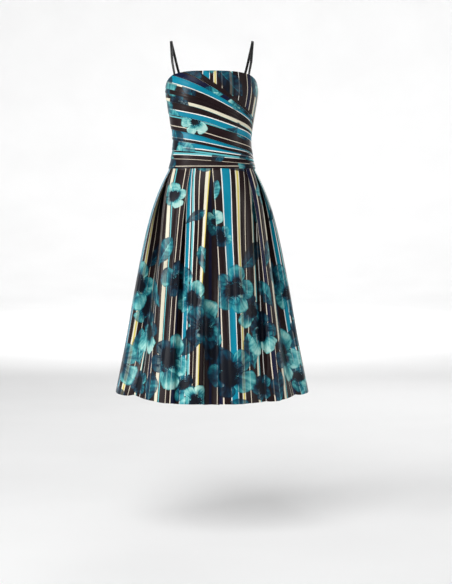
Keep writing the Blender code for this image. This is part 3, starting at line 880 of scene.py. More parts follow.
def choose(piece):
    """Selects one piece alone and makes it active."""
    bpy.ops.object.select_all(action="DESELECT")
    piece.select_set(True)
    bpy.context.view_layer.objects.active = piece


def refine(piece):
    """Rounds a sheet with a Subdivision Surface modifier."""
    choose(piece)
    step = piece.modifiers.new("Rounded", "SUBSURF")
    step.levels = step.render_levels = 1
    step.boundary_smooth = "PRESERVE_CORNERS"
    bpy.ops.object.modifier_apply(modifier=step.name)


def thicken(piece, wall, offset, finishes):
    """Gives a sheet its materials and its wall, whose inner face takes the second of them."""
    for finish in finishes:
        piece.data.materials.append(finish)
    choose(piece)
    step = piece.modifiers.new("Wall", "SOLIDIFY")
    step.thickness = wall
    step.offset = offset
    step.use_quality_normals = True
    step.material_offset = 1
    bpy.ops.object.modifier_apply(modifier=step.name)
    bpy.ops.object.shade_smooth_by_angle(angle=SMOOTH_TO)


def press_creases(piece, creases, strength, share_at=None):
    """Moves the points of a sheet along their normals, by the creases at their place on it."""
    mesh = piece.data
    places = {}
    for loop, corner in zip(mesh.loops, mesh.uv_layers["cloth"].data):
        places[loop.vertex_index] = corner.uv
    moves = []
    for vertex in mesh.vertices:
        u, v = places[vertex.index]
        share = share_at(u, v) if share_at else 1.0
        moves.append(vertex.normal * crease_at(creases, u, v) * strength * share)
    for vertex, move in zip(mesh.vertices, moves):
        vertex.co += move
    mesh.update()


def dress(piece, nodes):
    """Gives a piece its body, and hides the solids that it stands for."""
    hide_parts(*nodes)
    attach(piece, "dress")


# Shader nodes


def linear(colour):
    """An 8-bit sRGB colour as linear RGBA."""
    shares = [value / 255 for value in colour]
    found = [s / 12.92 if s <= 0.04045 else ((s + 0.055) / 1.055) ** 2.4 for s in shares]
    return (*found, 1.0)


class Value:
    """An output of a shader node. Plain arithmetic on it adds Math nodes."""

    def __init__(self, socket):
        self.socket = socket
        self.tree = socket.id_data

    def math(self, operation, b=0.0, c=0.0):
        return node(self.tree, "ShaderNodeMath", {0: self, 1: b, 2: c}, operation=operation)

    def vector(self, operation, inputs=None, output=0):
        inputs = {0: self, **(inputs or {})}
        return node(self.tree, "ShaderNodeVectorMath", inputs, output, operation=operation)

    def parts(self):
        """The three numbers of a vector."""
        first = node(self.tree, "ShaderNodeSeparateXYZ", {0: self})
        return [Value(output) for output in first.socket.node.outputs]

    def to(self, made, name):
        """Leads the value into an input of a node."""
        self.tree.links.new(self.socket, made.inputs[name])

    def __add__(self, other):
        return self.math("ADD", other)

    def __sub__(self, other):
        return self.math("SUBTRACT", other)

    def __mul__(self, other):
        return self.math("MULTIPLY", other)

    def __truediv__(self, other):
        return self.math("DIVIDE", other)

    def __abs__(self):
        return self.math("ABSOLUTE")


def node(tree, kind, inputs=None, output=0, **settings):
    """Adds a node with its settings and inputs, which are Values or plain values."""
    made = tree.nodes.new(kind)
    for name, value in settings.items():
        setattr(made, name, value)
    for key, value in (inputs or {}).items():
        if isinstance(value, Value):
            value.to(made, key)
        else:
            made.inputs[key].default_value = value
    return Value(made.outputs[output])


def ease(value, low, high, start=0.0, end=1.0):
    """Goes smoothly from start to end while value goes from low to high."""
    inputs = {"Value": value, "From Min": low, "From Max": high, "To Min": start, "To Max": end}
    return node(value.tree, "ShaderNodeMapRange", inputs, interpolation_type="SMOOTHSTEP")


def blend(share, a, b):
    """Mixes two colours."""
    return node(share.tree, "ShaderNodeMix", {0: share, 6: a, 7: b}, output=2, data_type="RGBA")


def noise(place, scale, detail=2.0, output=0):
    inputs = {"Vector": place, "Scale": scale, "Detail": detail}
    return node(place.tree, "ShaderNodeTexNoise", inputs, output=output, noise_dimensions="3D")


def mapped(place, **inputs):
    """A place that is moved or scaled."""
    return node(place.tree, "ShaderNodeMapping", {"Vector": place, **inputs})


def colour_steps(value, stops, interpolation="LINEAR"):
    """A Color Ramp with a stop for each pair of a place and a linear colour."""
    made = value.tree.nodes.new("ShaderNodeValToRGB")
    made.color_ramp.interpolation = interpolation
    elements = made.color_ramp.elements
    while len(elements) > 1:
        elements.remove(elements[-1])
    elements[0].position = stops[0][0]
    elements[0].color = stops[0][1]
    for place, colour in stops[1:]:
        elements.new(place).color = colour
    value.to(made, "Fac")
    return Value(made.outputs["Color"])


# The print


def stripe_steps(row, look):
    """Ramp stops of one half of the stripes, and its width in metres."""
    total = sum(width for width, _ in row)
    stops, reached = [], 0.0
    for width, name in row:
        stops.append((reached / total, look.colour(name)))
        reached += width
    return stops, total * MILLIMETRE


def stripes(flat, look, repeat):
    """The upright stripes, with a slight waver."""
    across = flat.parts()[0] + (noise(flat, STRIPE_WAVER_SCALE) - 0.5) * STRIPE_WAVER
    colours, reached = [], 0.0
    for row in STRIPES:
        stops, width = stripe_steps(row, look)
        place = (across - reached).math("WRAP", repeat, 0.0) / width
        colours.append(colour_steps(place, stops, "CONSTANT"))
        reached += width
    first_width = stripe_steps(STRIPES[0], look)[1]
    first_half = across.math("WRAP", repeat, 0.0).math("LESS_THAN", first_width)
    return blend(first_half, colours[1], colours[0])


def uneven_place(flat):
    """The place on the cloth with an uneven edge, for what is painted."""
    painted = flat
    for scale, detail, reach in PAINT_WAVERS:
        shake = noise(flat, scale, detail, output=1).vector("SUBTRACT", {1: (0.5, 0.5, 0.5)})
        painted = painted.vector("ADD", {1: shake.vector("SCALE", {"Scale": reach})})
    return painted.vector("MULTIPLY", {1: (1.0, 1.0, 0.0)})


def nearest_motif(place, motifs, repeat, size):
    """The place on the nearest motif, in its own radii and turned with it, with its seed and tone
    over SEED_SCALE as the third number."""
    half = (repeat / 2, PRINT_HEIGHT / 2, 1.0)
    limits = {1: half, 2: tuple(-value for value in half)}
    best, best_reach = None, None
    for across, down, radius, turn, seed in motifs:
        own = mapped(
            place.vector("SUBTRACT", {1: (across, down, 0.0)}).vector("WRAP", limits),
            Location=(0.0, 0.0, seed / SEED_SCALE),
            Rotation=(0.0, 0.0, math.radians(turn)),
            Scale=(1 / (radius * size), 1 / (radius * size), 0.0),
        )
        reach = own.vector("LENGTH", output=1)
        if best is None:
            best, best_reach = own, reach
            continue
        inputs = {0: reach.math("LESS_THAN", best_reach), 4: best, 5: own}
        best = node(place.tree, "ShaderNodeMix", inputs, output=1, data_type="VECTOR")
        best_reach = reach.math("MINIMUM", best_reach)
    return best


def motif_parts(own):
    """Across, up, distance from the centre, seed and tone of a motif's own place."""
    x, y, code = own.parts()
    code = code * SEED_SCALE
    return x, y, (x * x + y * y).math("SQRT"), code.math("FLOOR"), code.math("FRACT")


def petals(x, y, reach, seed, count, shift, size):
    """One ring of petals: where it covers, and how light it is, from 0 to 1."""
    place = (y.math("ARCTAN2", x) * (1 / math.tau) + 0.5) * count + shift
    number = place.math("FLOOR").math("WRAP", count, 0.0)
    side = place.math("FRACT") - 0.5
    key = seed.math("MULTIPLY_ADD", CHANCE_STEP, number)
    chance = node(x.tree, "ShaderNodeTexWhiteNoise", {"W": key}, noise_dimensions="1D")
    lean = side + (chance - 0.5) * PETAL_LEAN
    hollow = abs(lean * 2.0).math("POWER", PETAL_CURVE)
    length = chance * (PETAL_LONGER * size) + PETAL_LENGTH * size
    near = reach / ((hollow * PETAL_NOTCH + 1.0) * length)
    ray = node(x.tree, "ShaderNodeCombineXYZ", {0: place * STREAKS_ROUND, 1: near, 2: seed})
    light = ease(near, *PETAL_OUTWARD) + (chance - 0.5) * PETAL_CHANCE
    light = light + (noise(ray, STREAK_SCALE) - 0.5) * PETAL_STREAK
    light = light + ease(near, *PETAL_RIM) + ease(abs(side), *PETAL_SEAM)
    return ease(near, *PETAL_EDGE), light


def flower(own, mottle, spots):
    """An outer and an inner ring of petals, and a dark heart with pale stamens."""
    x, y, reach, seed, tone = motif_parts(own)
    outer, light = petals(x, y, reach, seed, *OUTER_RING)
    inner, inner_light = petals(x, y, reach, seed + INNER_SEED, *INNER_RING)
    inner_light = inner_light + INNER_SHADE
    light = node(x.tree, "ShaderNodeMix", {0: inner, 2: light, 3: inner_light})
    light = light + mottle * FLOWER_MOTTLE + tone + y * FLOWER_DOWNWARD
    light = light + ease(reach + mottle * HEART_MOTTLE, *HEART)
    ring = ease(reach, *STAMENS_FROM) * ease(reach, *STAMENS_TO)
    light = light + ease(spots, *STAMEN) * ring
    return outer.math("MAXIMUM", inner), light


def leaf(own, mottle):
    """A leaf with a rib and veins: where it covers, and how light it is."""
    x, y, reach, _, tone = motif_parts(own)
    width = (x * x * -LEAF_WIDTH + LEAF_WIDTH) * (x * LEAF_TAPER + 1.0)
    near = abs(y) / width.math("MAXIMUM", LEAF_NARROWEST)
    vein = (x * LEAF_VEINS + near * LEAF_VEIN_SLANT).math("SINE")
    light = tone + LEAF_SHADE + y.math("GREATER_THAN", 0.0) * LEAF_UPPER_HALF
    light = light + mottle * LEAF_MOTTLE + vein * LEAF_VEIN_LIGHT
    light = light + ease(near, *LEAF_RIB) + ease(near, *LEAF_RIM)
    return ease(near, *LEAF_EDGE) * reach.math("LESS_THAN", 1.0), light


def print_group(look):
    """The print: upright stripes, with leaves and flowers in washes of watercolour over them."""
    tree = bpy.data.node_groups.new(PRINT_NAME, "ShaderNodeTree")
    tree.interface.new_socket("Place", in_out="INPUT", socket_type="NodeSocketVector")
    tree.interface.new_socket("Colour", in_out="OUTPUT", socket_type="NodeSocketColor")
    flat = Value(tree.nodes.new("NodeGroupInput").outputs["Place"])
    repeat = sum(stripe_steps(row, look)[1] for row in STRIPES)
    tones = [(place, linear(colour)) for place, colour in TONES]
    painted = uneven_place(flat)
    mottle = noise(flat, MOTTLE_SCALE, MOTTLE_DETAIL) - 0.5

    own = nearest_motif(painted, LEAVES, repeat, look.flower_size)
    cover, light = leaf(own, mottle)
    colour = colour_steps(light, tones)
    washed = blend(cover * look.leaf_cover, stripes(flat, look, repeat), colour)

    inputs = {"Vector": flat, "Scale": STAMEN_SCALE}
    spots = node(tree, "ShaderNodeTexVoronoi", inputs, feature="F1", voronoi_dimensions="2D")
    for motifs in (FLOWERS_BEHIND, FLOWERS):
        own = nearest_motif(painted, motifs, repeat, look.flower_size)
        cover, light = flower(own, mottle, spots)
        hiding = ease(light, *DARK_TO_LIGHT, 1.0, look.flower_cover)
        washed = blend(cover * hiding, washed, colour_steps(light, tones))

    inked = washed.vector("SCALE", {"Scale": mottle * INK_MOTTLE + 1.0})
    inked.to(tree.nodes.new("NodeGroupOutput"), "Colour")
    return tree


# Materials


def new_material(name):
    """A material, its tree and its shader."""
    made = bpy.data.materials.new(name)
    made.use_nodes = True
    return made, made.node_tree, made.node_tree.nodes["Principled BSDF"]


def new_cloth(name, roughness, sheen, specular):
    """A material, its shader and the place on the flat cloth."""
    made, tree, shader = new_material(name)
    shader.inputs["Roughness"].default_value = roughness
    shader.inputs["Sheen Weight"].default_value = sheen
    shader.inputs["Sheen Roughness"].default_value = SHEEN_ROUGHNESS
    shader.inputs["Specular IOR Level"].default_value = specular
    return made, shader, node(tree, "ShaderNodeUVMap", uv_map="cloth")


def times(colour, share):
    """A colour that is darker or lighter."""
    return (*(min(1.0, share * value) for value in colour[:3]), 1.0)


def bumps(height, shader, strength, distance):
    """Gives a shader bumps of that height."""
    inputs = {"Height": height, "Strength": strength, "Distance": distance}
    node(height.tree, "ShaderNodeBump", inputs).to(shader, "Normal")


def satin_surface(shader, place, roughness, strength):
    """Long floats of thread across the satin, as fine bumps and an uneven gloss."""
    threads = noise(mapped(place, Scale=THREADS), 1.0, 1.0)
    slubs = noise(mapped(place, Scale=SLUBS), 1.0)
    bumps(slubs * SLUB_HEIGHT + threads, shader, strength, THREAD_BUMP)
    gloss = noise(place, GLOSS_SCALE) * GLOSS_SPREAD + (roughness - GLOSS_SPREAD / 2)
    (gloss + slubs * GLOSS_OF_SLUBS).to(shader, "Roughness")


def printed_satin(name, look, group, shift):
    """The printed satin, with the print moved by shift in metres."""
    made, shader, place = new_cloth(name, look.roughness, look.sheen, look.gloss)
    pattern = made.node_tree.nodes.new("ShaderNodeGroup")
    pattern.node_tree = group
    mapped(place, Location=(*shift, 0.0)).to(pattern, "Place")
    Value(pattern.outputs["Colour"]).to(shader, "Base Color")
    satin_surface(shader, place, look.roughness, SATIN_BUMP)
    return made


def plain_satin(name, colour):
    """The lining, with its weave and a slightly uneven dye."""
    made, shader, place = new_cloth(name, LINING_ROUGHNESS, 0.0, LINING_GLOSS)
    stops = list(zip(DYE_STOPS, (times(colour, UNEVEN_DYE), colour)))
    colour_steps(noise(place, DYE_SCALE, DYE_DETAIL), stops).to(shader, "Base Color")
    satin_surface(shader, place, LINING_ROUGHNESS, LINING_BUMP)
    return made


def ribbon_satin(look):
    """Black satin ribbon, ribbed across, with a row of stitches inside each edge, which are painted
    lighter than the ribbon as a painted sheen.
    """
    made, shader, place = new_cloth("black_ribbon", *RIBBON_SURFACE)
    across, along, _ = place.parts()
    rib = (along * (math.tau / RIBBON_RIB)).math("SINE")
    row = ease(abs(abs(across) - STITCH_PLACE), *STITCH_EDGE)
    stitch = along.math("PINGPONG", STITCH_STEP / 2).math("GREATER_THAN", STITCH_GAP / 2)
    sewn = row * stitch
    bumps(sewn * STITCH_HEIGHT + rib * RIBBON_RIB_HEIGHT, shader, *RIBBON_BUMP)
    dye = look.colour("ribbon")
    # Painted sheen: the stitches are painted lighter than the ribbon
    blend(sewn * PAINTED_STITCH_SHEEN, dye, times(dye, PAINTED_STITCH_LIGHTNESS)).to(shader, "Base Color")
    return made


def woven_tape(look):
    """The zip's tape, in herringbone, with the crest of each rib painted lighter as a painted
    highlight.
    """
    made, shader, place = new_cloth("black_tape", *TAPE_SURFACE)
    across, along, _ = place.parts()
    slant = across.math("PINGPONG", TAPE_ZIGZAG) + along
    rib = (slant * (math.tau / TAPE_RIB)).math("SINE")
    bumps(rib, shader, *TAPE_BUMP)
    dye = look.colour("ribbon")
    # Painted highlight: the crests of the ribs are painted lighter than the tape
    blend(ease(rib, -1.0, 1.0), dye, times(dye, PAINTED_RIB_HIGHLIGHT)).to(shader, "Base Color")
    return made


def worn_enamel(look):
    """Black enamel on the zip's metal, thinner and shinier where it rubs."""
    made, tree, shader = new_material("black_enamel")
    place = node(tree, "ShaderNodeTexCoord", output="Object")
    worn = noise(place, WEAR_SCALE, WEAR_DETAIL)
    stops = list(zip(WEAR_STOPS, (look.colour("ribbon"), look.colour("worn"))))
    colour_steps(worn, stops).to(shader, "Base Color")
    ease(worn, *WORN_ROUGHNESS).to(shader, "Roughness")
    shader.inputs["Metallic"].default_value = ENAMEL_METALLIC
    return made


def pale_floor():
    """Pale matt studio floor."""
    made, tree, shader = new_material("pale_floor")
    place = node(tree, "ShaderNodeTexCoord", output="Object")
    stops = [(at, (tone, tone, tone, 1.0)) for at, tone in FLOOR_TONES]
    colour_steps(noise(place, FLOOR_SCALE), stops).to(shader, "Base Color")
    shader.inputs["Roughness"].default_value = FLOOR_ROUGHNESS
    return made


# Settings that a user may change


def share_setting(name, description, default, low=0.0, high=1.0):
    """A setting without a unit, between two limits."""
    return bpy.props.FloatProperty(
        name=name, description=description, default=default, min=low, max=high, subtype="FACTOR"
    )


def length_setting(name, description, default):
    """A setting in metres."""
    return bpy.props.FloatProperty(
        name=name, description=description, default=default, unit="LENGTH"
    )


def light_setting(name, description, default, subtype="NONE"):
    """A setting for a light."""
    return bpy.props.FloatProperty(
        name=name, description=description, default=default, min=0.0, subtype=subtype
    )


def colour_setting(name, description, default):
    """A setting for one of the named colours."""
    return bpy.props.FloatVectorProperty(
        name=name, description=description, default=linear(default), size=4, subtype="COLOR"
    )


class CutSettings(bpy.types.PropertyGroup):
    """Sizes of the cloth."""

    skirt_length: length_setting(
        "Skirt length", "Length of the skirt's cloth from the waist seam to the hem", SKIRT_LENGTH
    )
    pleat_relief: length_setting(
        "Pleat relief", "How far the lip of a pleat stands out on the bodice", PLEAT_RELIEF
    )
    crease: share_setting("Creases", "Strength of the soft creases in the cloth", 1.0, high=2.0)
    strap_width: length_setting("Strap width", "Width of the ribbon straps", STRAP_WIDTH)


class PrintSettings(bpy.types.PropertyGroup):
    """Colours and gloss of the print."""

    flower_size: share_setting(
        "Flower size",
        "Size of the flowers and leaves, as a share of the print's own",
        FLOWER_SIZE,
        low=0.5,
        high=1.5,
    )
    flower_cover: share_setting(
        "Flower cover", "How much the flowers hide the stripes under them", FLOWER_COVER
    )
    leaf_cover: share_setting(
        "Leaf cover", "How much the leaves hide the stripes under them", LEAF_COVER
    )
    roughness: share_setting("Roughness", "Roughness of the satin", SATIN_ROUGHNESS, low=0.1)
    sheen: share_setting("Sheen", "Soft light along the edges of the satin", SATIN_SHEEN)
    gloss: share_setting("Gloss", "Strength of the satin's reflections", SATIN_GLOSS)
    ground: colour_setting("Ground", "Colour of the widest stripes", COLOURS["ground"])
    navy: colour_setting("Navy", "Colour of the dark blue stripes", COLOURS["navy"])
    teal: colour_setting("Teal", "Colour of the bright blue stripes", COLOURS["teal"])

    def colour(self, name):
        """A named colour: one of the settings, or one of the fixed ones."""
        if name in self.bl_rna.properties:
            return tuple(getattr(self, name))
        return linear(COLOURS[name])


class RoomSettings(bpy.types.PropertyGroup):
    """Light and floor."""

    daylight: light_setting("Daylight", "Strength of the even light from all sides", DAYLIGHT)
    overhead: light_setting(
        "Overhead light", "Strength of the soft light from above and in front", OVERHEAD
    )
    key_power: light_setting("Key light", "Power of the large lamp in front", KEY_POWER, "POWER")
    floor_height: length_setting(
        "Floor height", "Height of the floor under the dress", FLOOR_HEIGHT
    )


def cut():
    return bpy.context.scene.bustier_cut


def look():
    return bpy.context.scene.bustier_print


def finish(name, make, *values):
    """The material of that name, made by make(*values) the first time that it is asked for."""
    return bpy.data.materials.get(name) or make(*values)


def satin(name, shift):
    group = bpy.data.node_groups.get(PRINT_NAME) or print_group(look())
    return finish(name, printed_satin, name, look(), group, shift)


def lining():
    return finish("dark_lining", plain_satin, "dark_lining", look().colour("lining"))


# The pieces


class BUSTIER_OT_bodice_front(bpy.types.Operator):
    """Makes the flat front panel of the bodice, which the drape lies on"""

    bl_idname = "bustier.bodice_front"
    bl_label = "Bodice front"

    def execute(self, context):
        lines = [i / LINING_ROWS / 2 for i in range(DRAPE_TOP * LINING_ROWS * 2)]
        covered = (WAIST_LINE - DRAPE_TOP) * LINING_ROWS
        lines += [DRAPE_TOP + i / LINING_ROWS for i in range(covered + 1)]
        inside = -(DRAPE_WALL + SEAM_GAP)
        columns = [[front_point(line, bend, inside) for line in lines] for bend in BENDS]

        def place(column, row, low):
            angle, height = front_angle_height(lines[row], BENDS[column])
            return angle * RADIUS_OF_PRINT, height

        piece = sheet("front_panel", columns, place)
        press_creases(piece, BODICE_CREASES, cut().crease)
        finishes = (satin("satin_bodice", BODICE_SHIFT), lining())
        thicken(piece, BODICE_WALL, -1, finishes)
        dress(piece, ["bodice_front"])
        return {"FINISHED"}


class BUSTIER_OT_bodice_drape(bpy.types.Operator):
    """Makes the drape of lapped pleats over the bodice front"""

    bl_idname = "bustier.bodice_drape"
    bl_label = "Bodice drape"

    def execute(self, context):
        rows = [
            (line + share, line, rise)
            for line in range(DRAPE_TOP, WAIST_LINE)
            for share, rise in PLEAT_PROFILE
        ]
        rows[0] = (DRAPE_TOP, DRAPE_TOP, TOP_RISE)
        rows.append((WAIST_LINE, WAIST_LINE - 1, WAIST_RISE))
        edges = {
            line: [front_point(line, bend, 0) for bend in BENDS]
            for line in range(DRAPE_TOP, WAIST_LINE + 1)
        }
        columns = []
        for column, bend in enumerate(BENDS):
            fades = smooth(bend / END_FADES[0]) * smooth((1 - bend) / END_FADES[1])
            ends = END_RELIEF + (1 - END_RELIEF) * fades
            points = []
            for at, line, rise in rows:
                room = (edges[line + 1][column] - edges[line][column]).length
                relief = cut().pleat_relief * FRONT_LINES[line + 1][4] * ends
                out = relief * rise * min(1.0, room / FULL_RELIEF_FROM)
                out += crease_at(DRAPE_CREASES, at, bend) * cut().crease * ends
                points.append(front_point(at, bend, max(out, 0.0)))
            columns.append(points)
        above, along = self.pleat_places(columns, rows, edges)

        def place(column, row, low):
            line = rows[row][1]
            pleat = rows[row - 1][1] if low else line
            distance = 0.0 if pleat != line else above[column][row]
            number = pleat - DRAPE_TOP
            return DRAPE_STRIPES[number] - distance, DRAPE_FLOWERS[number] + along[column][row]

        piece = sheet("front_drape", columns, place)
        finishes = (satin("satin_drape", (0.0, 0.0)), lining())
        thicken(piece, DRAPE_WALL, -1, finishes)
        dress(piece, ["bodice_drape"])
        return {"FINISHED"}

    def pleat_places(self, columns, rows, edges):
        """For each point, how far it is above the lower edge of its pleat and along that edge."""
        lengths = {}
        for line, points in edges.items():
            lengths[line] = [0.0]
            for a, b in zip(points, points[1:]):
                lengths[line].append(lengths[line][-1] + (b - a).length)
        above, along = [], []
        for column, points in enumerate(columns):
            near, far = [], []
            for row, point in enumerate(points):
                edge = edges[rows[row][1] + 1]
                reached = lengths[rows[row][1] + 1]
                best = (math.inf, 0.0)
                first, last = column - NEAR_COLUMNS, column + NEAR_COLUMNS
                for i in range(max(0, first), min(len(edge) - 1, last)):
                    run = edge[i + 1] - edge[i]
                    share = min(1.0, max(0.0, (point - edge[i]).dot(run) / run.length_squared))
                    distance = (point - edge[i] - run * share).length
                    best = min(best, (distance, reached[i] + run.length * share))
                near.append(best[0])
                far.append(best[1])
            above.append(near)
            along.append(far)
        return above, along


class BUSTIER_OT_bodice_back(bpy.types.Operator):
    """Makes the two back panels of the bodice"""

    bl_idname = "bustier.bodice_back"
    bl_label = "Bodice back"

    def execute(self, context):
        side = math.pi - SIDE_ANGLE
        back = math.pi - SEAM_GAP / 2 / TORSO[0][3]
        finishes = (satin("satin_bodice", BODICE_SHIFT), lining())
        for name, first, last in (
            ("bodice_back_left", side, back),
            ("bodice_back_right", -back, -side),
        ):
            foot = WAIST_SEAM + SEAM_GAP / 2
            angles = spread(first, last, BACK_COLUMNS)
            columns, heights = [], []
            for angle in angles:
                rows = spread(top_edge(angle), foot + SEAM_BAND, BACK_ROWS) + [foot]
                heights.append(rows)
                columns.append([torso(angle, height) for height in rows])

            def place(column, row, low):
                return angles[column] * RADIUS_OF_PRINT, heights[column][row]

            piece = sheet("panel_" + name, columns, place)
            press_creases(piece, BODICE_CREASES, cut().crease)
            thicken(piece, BODICE_WALL, -1, finishes)
            dress(piece, [name])
        return {"FINISHED"}


class BUSTIER_OT_skirt(bpy.types.Operator):
    """Makes the skirt's front and its two backs, hung in knife pleats"""

    bl_idname = "bustier.skirt"
    bl_label = "Skirt"

    def execute(self, context):
        length = cut().skirt_length
        for name, (columns, places, shares) in skirt_runs(length).items():
            downs = [share * length for share in SKIRT_ROWS]

            def place(column, row, low):
                return places[column], downs[row]

            def share_at(u, v):
                near = min(range(len(places)), key=lambda i: abs(places[i] - u))
                return shares[near] * smooth(v / CREASES_BELOW_WAIST)

            piece = sheet(name + "_cloth", drawn_back(columns), place)
            refine(piece)
            press_creases(piece, SKIRT_CREASES, cut().crease, share_at)
            finishes = (satin("satin_skirt", (0.0, 0.0)), lining())
            thicken(piece, SKIRT_WALL, 0, finishes)
            dress(piece, [name])
        return {"FINISHED"}


class BUSTIER_OT_straps(bpy.types.Operator):
    """Makes the two ribbon straps over the shoulders"""

    bl_idname = "bustier.straps"
    bl_label = "Straps"

    def execute(self, context):
        for name, turned in (("strap_left", 1), ("strap_right", -1)):
            columns, downs = self.ribbon(turned)

            def place(column, row, low):
                return (column / STRAP_ACROSS - 0.5) * cut().strap_width, downs[row]

            piece = sheet(name + "_ribbon", columns, place)
            thicken(piece, STRAP_WALL, 0, [finish("black_ribbon", ribbon_satin, look())])
            dress(piece, [name])
        return {"FINISHED"}

    def ribbon(self, turned):
        """Columns of points from inside the front's top edge to inside the back's."""
        behind = -(BODICE_WALL + STRAP_CLEAR + STRAP_WALL / 2)
        inside = behind - DRAPE_WALL - SEAM_GAP
        front = torso_angle(STRAP_FRONT_X, top_edge(STRAP_FRONT_ANGLE))
        back = torso_angle(STRAP_BACK_X, top_edge(STRAP_BACK_ANGLE), behind=True)
        front_top, back_top, turn = top_edge(front), top_edge(back), STRAP_TURN
        front_way = torso(front + turn, front_top) - torso(front - turn, front_top)
        back_way = torso(back - turn, back_top) - torso(back + turn, back_top)
        rises = (-STRAP_TUCK, -STRAP_TUCK / 2, STRAP_ABOVE)
        route = [(on_torso(front, front_top + rise, inside), front_way) for rise in rises]
        route += [(Vector(point), Vector(way)) for point, way in STRAP_ROUTE]
        route += [(on_torso(back, back_top + rise, behind), back_way) for rise in rises[::-1]]
        rows, length, last = [], 0.0, route[0][0]
        for point, way in route:
            length += (point - last).length
            last = point
            rows.append((length, *point, *way.normalized()))
        downs = spread(0.0, length, STRAP_ROWS)
        columns = [[] for _ in range(STRAP_ACROSS + 1)]
        for down in downs:
            found = between(rows, down)
            middle, way = Vector(found[:3]), Vector(found[3:]).normalized() * cut().strap_width
            for number, column in enumerate(columns):
                point = middle + way * (number / STRAP_ACROSS - 0.5)
                column.append(Vector((point.x * turned, point.y, point.z)))
        return (columns if turned < 0 else columns[::-1]), downs


class BUSTIER_OT_zip(bpy.types.Operator):
    """Makes the zip's tape and finishes its slider and pull"""

    bl_idname = "bustier.zip"
    bl_label = "Zip"

    def execute(self, context):
        piece = sheet("zip_tape_cloth", *self.tape())
        thicken(piece, TAPE_WALL, 0, [finish("black_tape", woven_tape, look())])
        dress(piece, ["zip_tape"])
        enamel = finish("black_enamel", worn_enamel, look())
        for name in ("zip_slider", "zip_pull"):
            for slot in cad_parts[name].material_slots:
                slot.material = enamel
        return {"FINISHED"}

    def tape(self):
        """Columns of points inside the centre back seam, and their places on the tape."""
        inside = -(BODICE_WALL + SEAM_GAP + TAPE_WALL / 2)
        depth = SKIRT_WALL + SEAM_GAP + TAPE_WALL / 2
        top = top_edge(math.pi) - ZIP_TOP_GAP
        heights = spread(top, WAIST_SEAM, ZIP_ROWS)
        rings = [Ring(fall) for fall in SKIRT_ROWS]
        seam = hung([[ring.at(ring.half, depth) for ring in rings]], cut().skirt_length)[0]
        columns = []
        for across in ZIP_ACROSS:
            column = []
            for height in heights:
                offset = across * ZIP_TAPE_HALF / between(TORSO, height)[2]
                column.append(on_torso(math.pi + offset, height, inside))
            for fall, ring, lower in zip(SKIRT_ROWS, rings, seam):
                if 0 < fall * SKIRT_LENGTH <= ZIP_BELOW_WAIST:
                    point = ring.at(ring.half - abs(across) * ZIP_TAPE_HALF, depth)
                    column.append(Vector((-point.x * across, point.y, lower.z)))
            columns.append(column)

        def place(column, row, low):
            return ZIP_ACROSS[column] * ZIP_TAPE_HALF, columns[column][row].z

        return columns, place


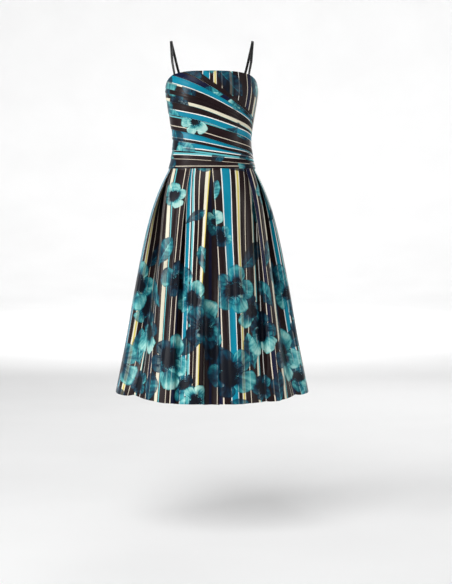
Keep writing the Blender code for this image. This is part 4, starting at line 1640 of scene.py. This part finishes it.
class BUSTIER_OT_stage(bpy.types.Operator):
    """Makes the floor, the light and the camera"""

    bl_idname = "bustier.stage"
    bl_label = "Stage"

    def execute(self, context):
        room = context.scene.bustier_room
        self.add_floor(room.floor_height)
        for name, place, size, share in LAMPS:
            self.add_lamp(name, place, LIT_POINT, size, room.key_power * share)
        for turn, share in WALL_LAMPS:
            across, along = math.cos(math.radians(turn)), math.sin(math.radians(turn))
            ends = (WALL_LAMP_AT, WALL_LIT_AT)
            place, lit = [(out * across, out * along, up) for out, up in ends]
            self.add_lamp("wall", place, lit, WALL_LAMP_SIZE, room.key_power * share)
        sun = bpy.data.lights.new("overhead", "SUN")
        sun.energy = room.overhead
        sun.angle = SUN_ANGLE
        add_object("overhead", sun).rotation_euler = SUN_TURN
        world = bpy.data.worlds.new("studio")
        world.use_nodes = True
        background = world.node_tree.nodes["Background"]
        background.inputs["Color"].default_value = (1, 1, 1, 1)
        background.inputs["Strength"].default_value = room.daylight
        context.scene.world = world
        context.scene.view_settings.view_transform = "Standard"
        data = bpy.data.cameras.new("camera")
        data.lens = CAMERA_LENS
        camera = add_object("camera", data)
        camera.location = CAMERA_PLACE
        camera.rotation_euler = (math.pi / 2 - CAMERA_PITCH, 0, 0)
        context.scene.camera = camera
        return {"FINISHED"}

    def add_floor(self, height):
        """A round floor that curves up into a wall all round."""
        profile = [(0.0, 0.0)]
        for turn in spread(0.0, math.pi / 2, COVE_STEPS):
            along = FLOOR_RADIUS + COVE_RADIUS * math.sin(turn)
            profile.append((along, COVE_RADIUS * (1 - math.cos(turn))))
        profile.append((FLOOR_RADIUS + COVE_RADIUS, COVE_TOP))
        mesh = bmesh.new()
        line = [mesh.verts.new((along, 0.0, up + height)) for along, up in profile]
        edges = [mesh.edges.new(pair) for pair in zip(line, line[1:])]
        turned = {"cent": (0, 0, 0), "axis": (0, 0, 1), "angle": math.tau, "steps": COVE_TURNS}
        bmesh.ops.spin(mesh, geom=line + edges, **turned)
        bmesh.ops.remove_doubles(mesh, verts=mesh.verts, dist=MILLIMETRE)
        bmesh.ops.recalc_face_normals(mesh, faces=mesh.faces)
        data = bpy.data.meshes.new("floor")
        mesh.to_mesh(data)
        mesh.free()
        for face in data.polygons:
            face.use_smooth = True
        data.materials.append(pale_floor())
        floor = add_object("floor", data)

    def add_lamp(self, name, place, lit, size, power):
        data = bpy.data.lights.new(name, "AREA")
        data.size = size
        data.energy = power
        lamp = add_object(name, data)
        lamp.location = place
        away = Vector(place) - Vector(lit)
        lamp.rotation_euler = away.to_track_quat("Z", "Y").to_euler()


class BUSTIER_PT_panel(bpy.types.Panel):
    """Lists the pieces of the dress and their settings"""

    bl_idname = "BUSTIER_PT_panel"
    bl_label = "Bustier dress"
    bl_space_type = "VIEW_3D"
    bl_region_type = "UI"
    bl_category = "Bustier dress"

    def draw(self, context):
        for name in ("bustier_cut", "bustier_print", "bustier_room"):
            settings = getattr(context.scene, name)
            for key in settings.bl_rna.properties.keys():
                if key not in ("rna_type", "name"):
                    self.layout.prop(settings, key)
        for operator in OPERATORS:
            self.layout.operator(operator.bl_idname)


OPERATORS = (
    BUSTIER_OT_stage,
    BUSTIER_OT_bodice_front,
    BUSTIER_OT_bodice_drape,
    BUSTIER_OT_bodice_back,
    BUSTIER_OT_skirt,
    BUSTIER_OT_straps,
    BUSTIER_OT_zip,
)
SETTINGS = (
    ("bustier_cut", CutSettings),
    ("bustier_print", PrintSettings),
    ("bustier_room", RoomSettings),
)


def register():
    for name, group in SETTINGS:
        bpy.utils.register_class(group)
        setattr(bpy.types.Scene, name, bpy.props.PointerProperty(type=group))
    for operator in OPERATORS:
        bpy.utils.register_class(operator)
    bpy.utils.register_class(BUSTIER_PT_panel)


def unregister():
    bpy.utils.unregister_class(BUSTIER_PT_panel)
    for operator in reversed(OPERATORS):
        bpy.utils.unregister_class(operator)
    for name, group in reversed(SETTINGS):
        delattr(bpy.types.Scene, name)
        bpy.utils.unregister_class(group)


def main():
    register()
    bpy.ops.bustier.stage()
    bpy.ops.bustier.bodice_front()
    bpy.ops.bustier.bodice_drape()
    bpy.ops.bustier.bodice_back()
    bpy.ops.bustier.skirt()
    bpy.ops.bustier.straps()
    bpy.ops.bustier.zip()


if __name__ == "__main__":
    main()
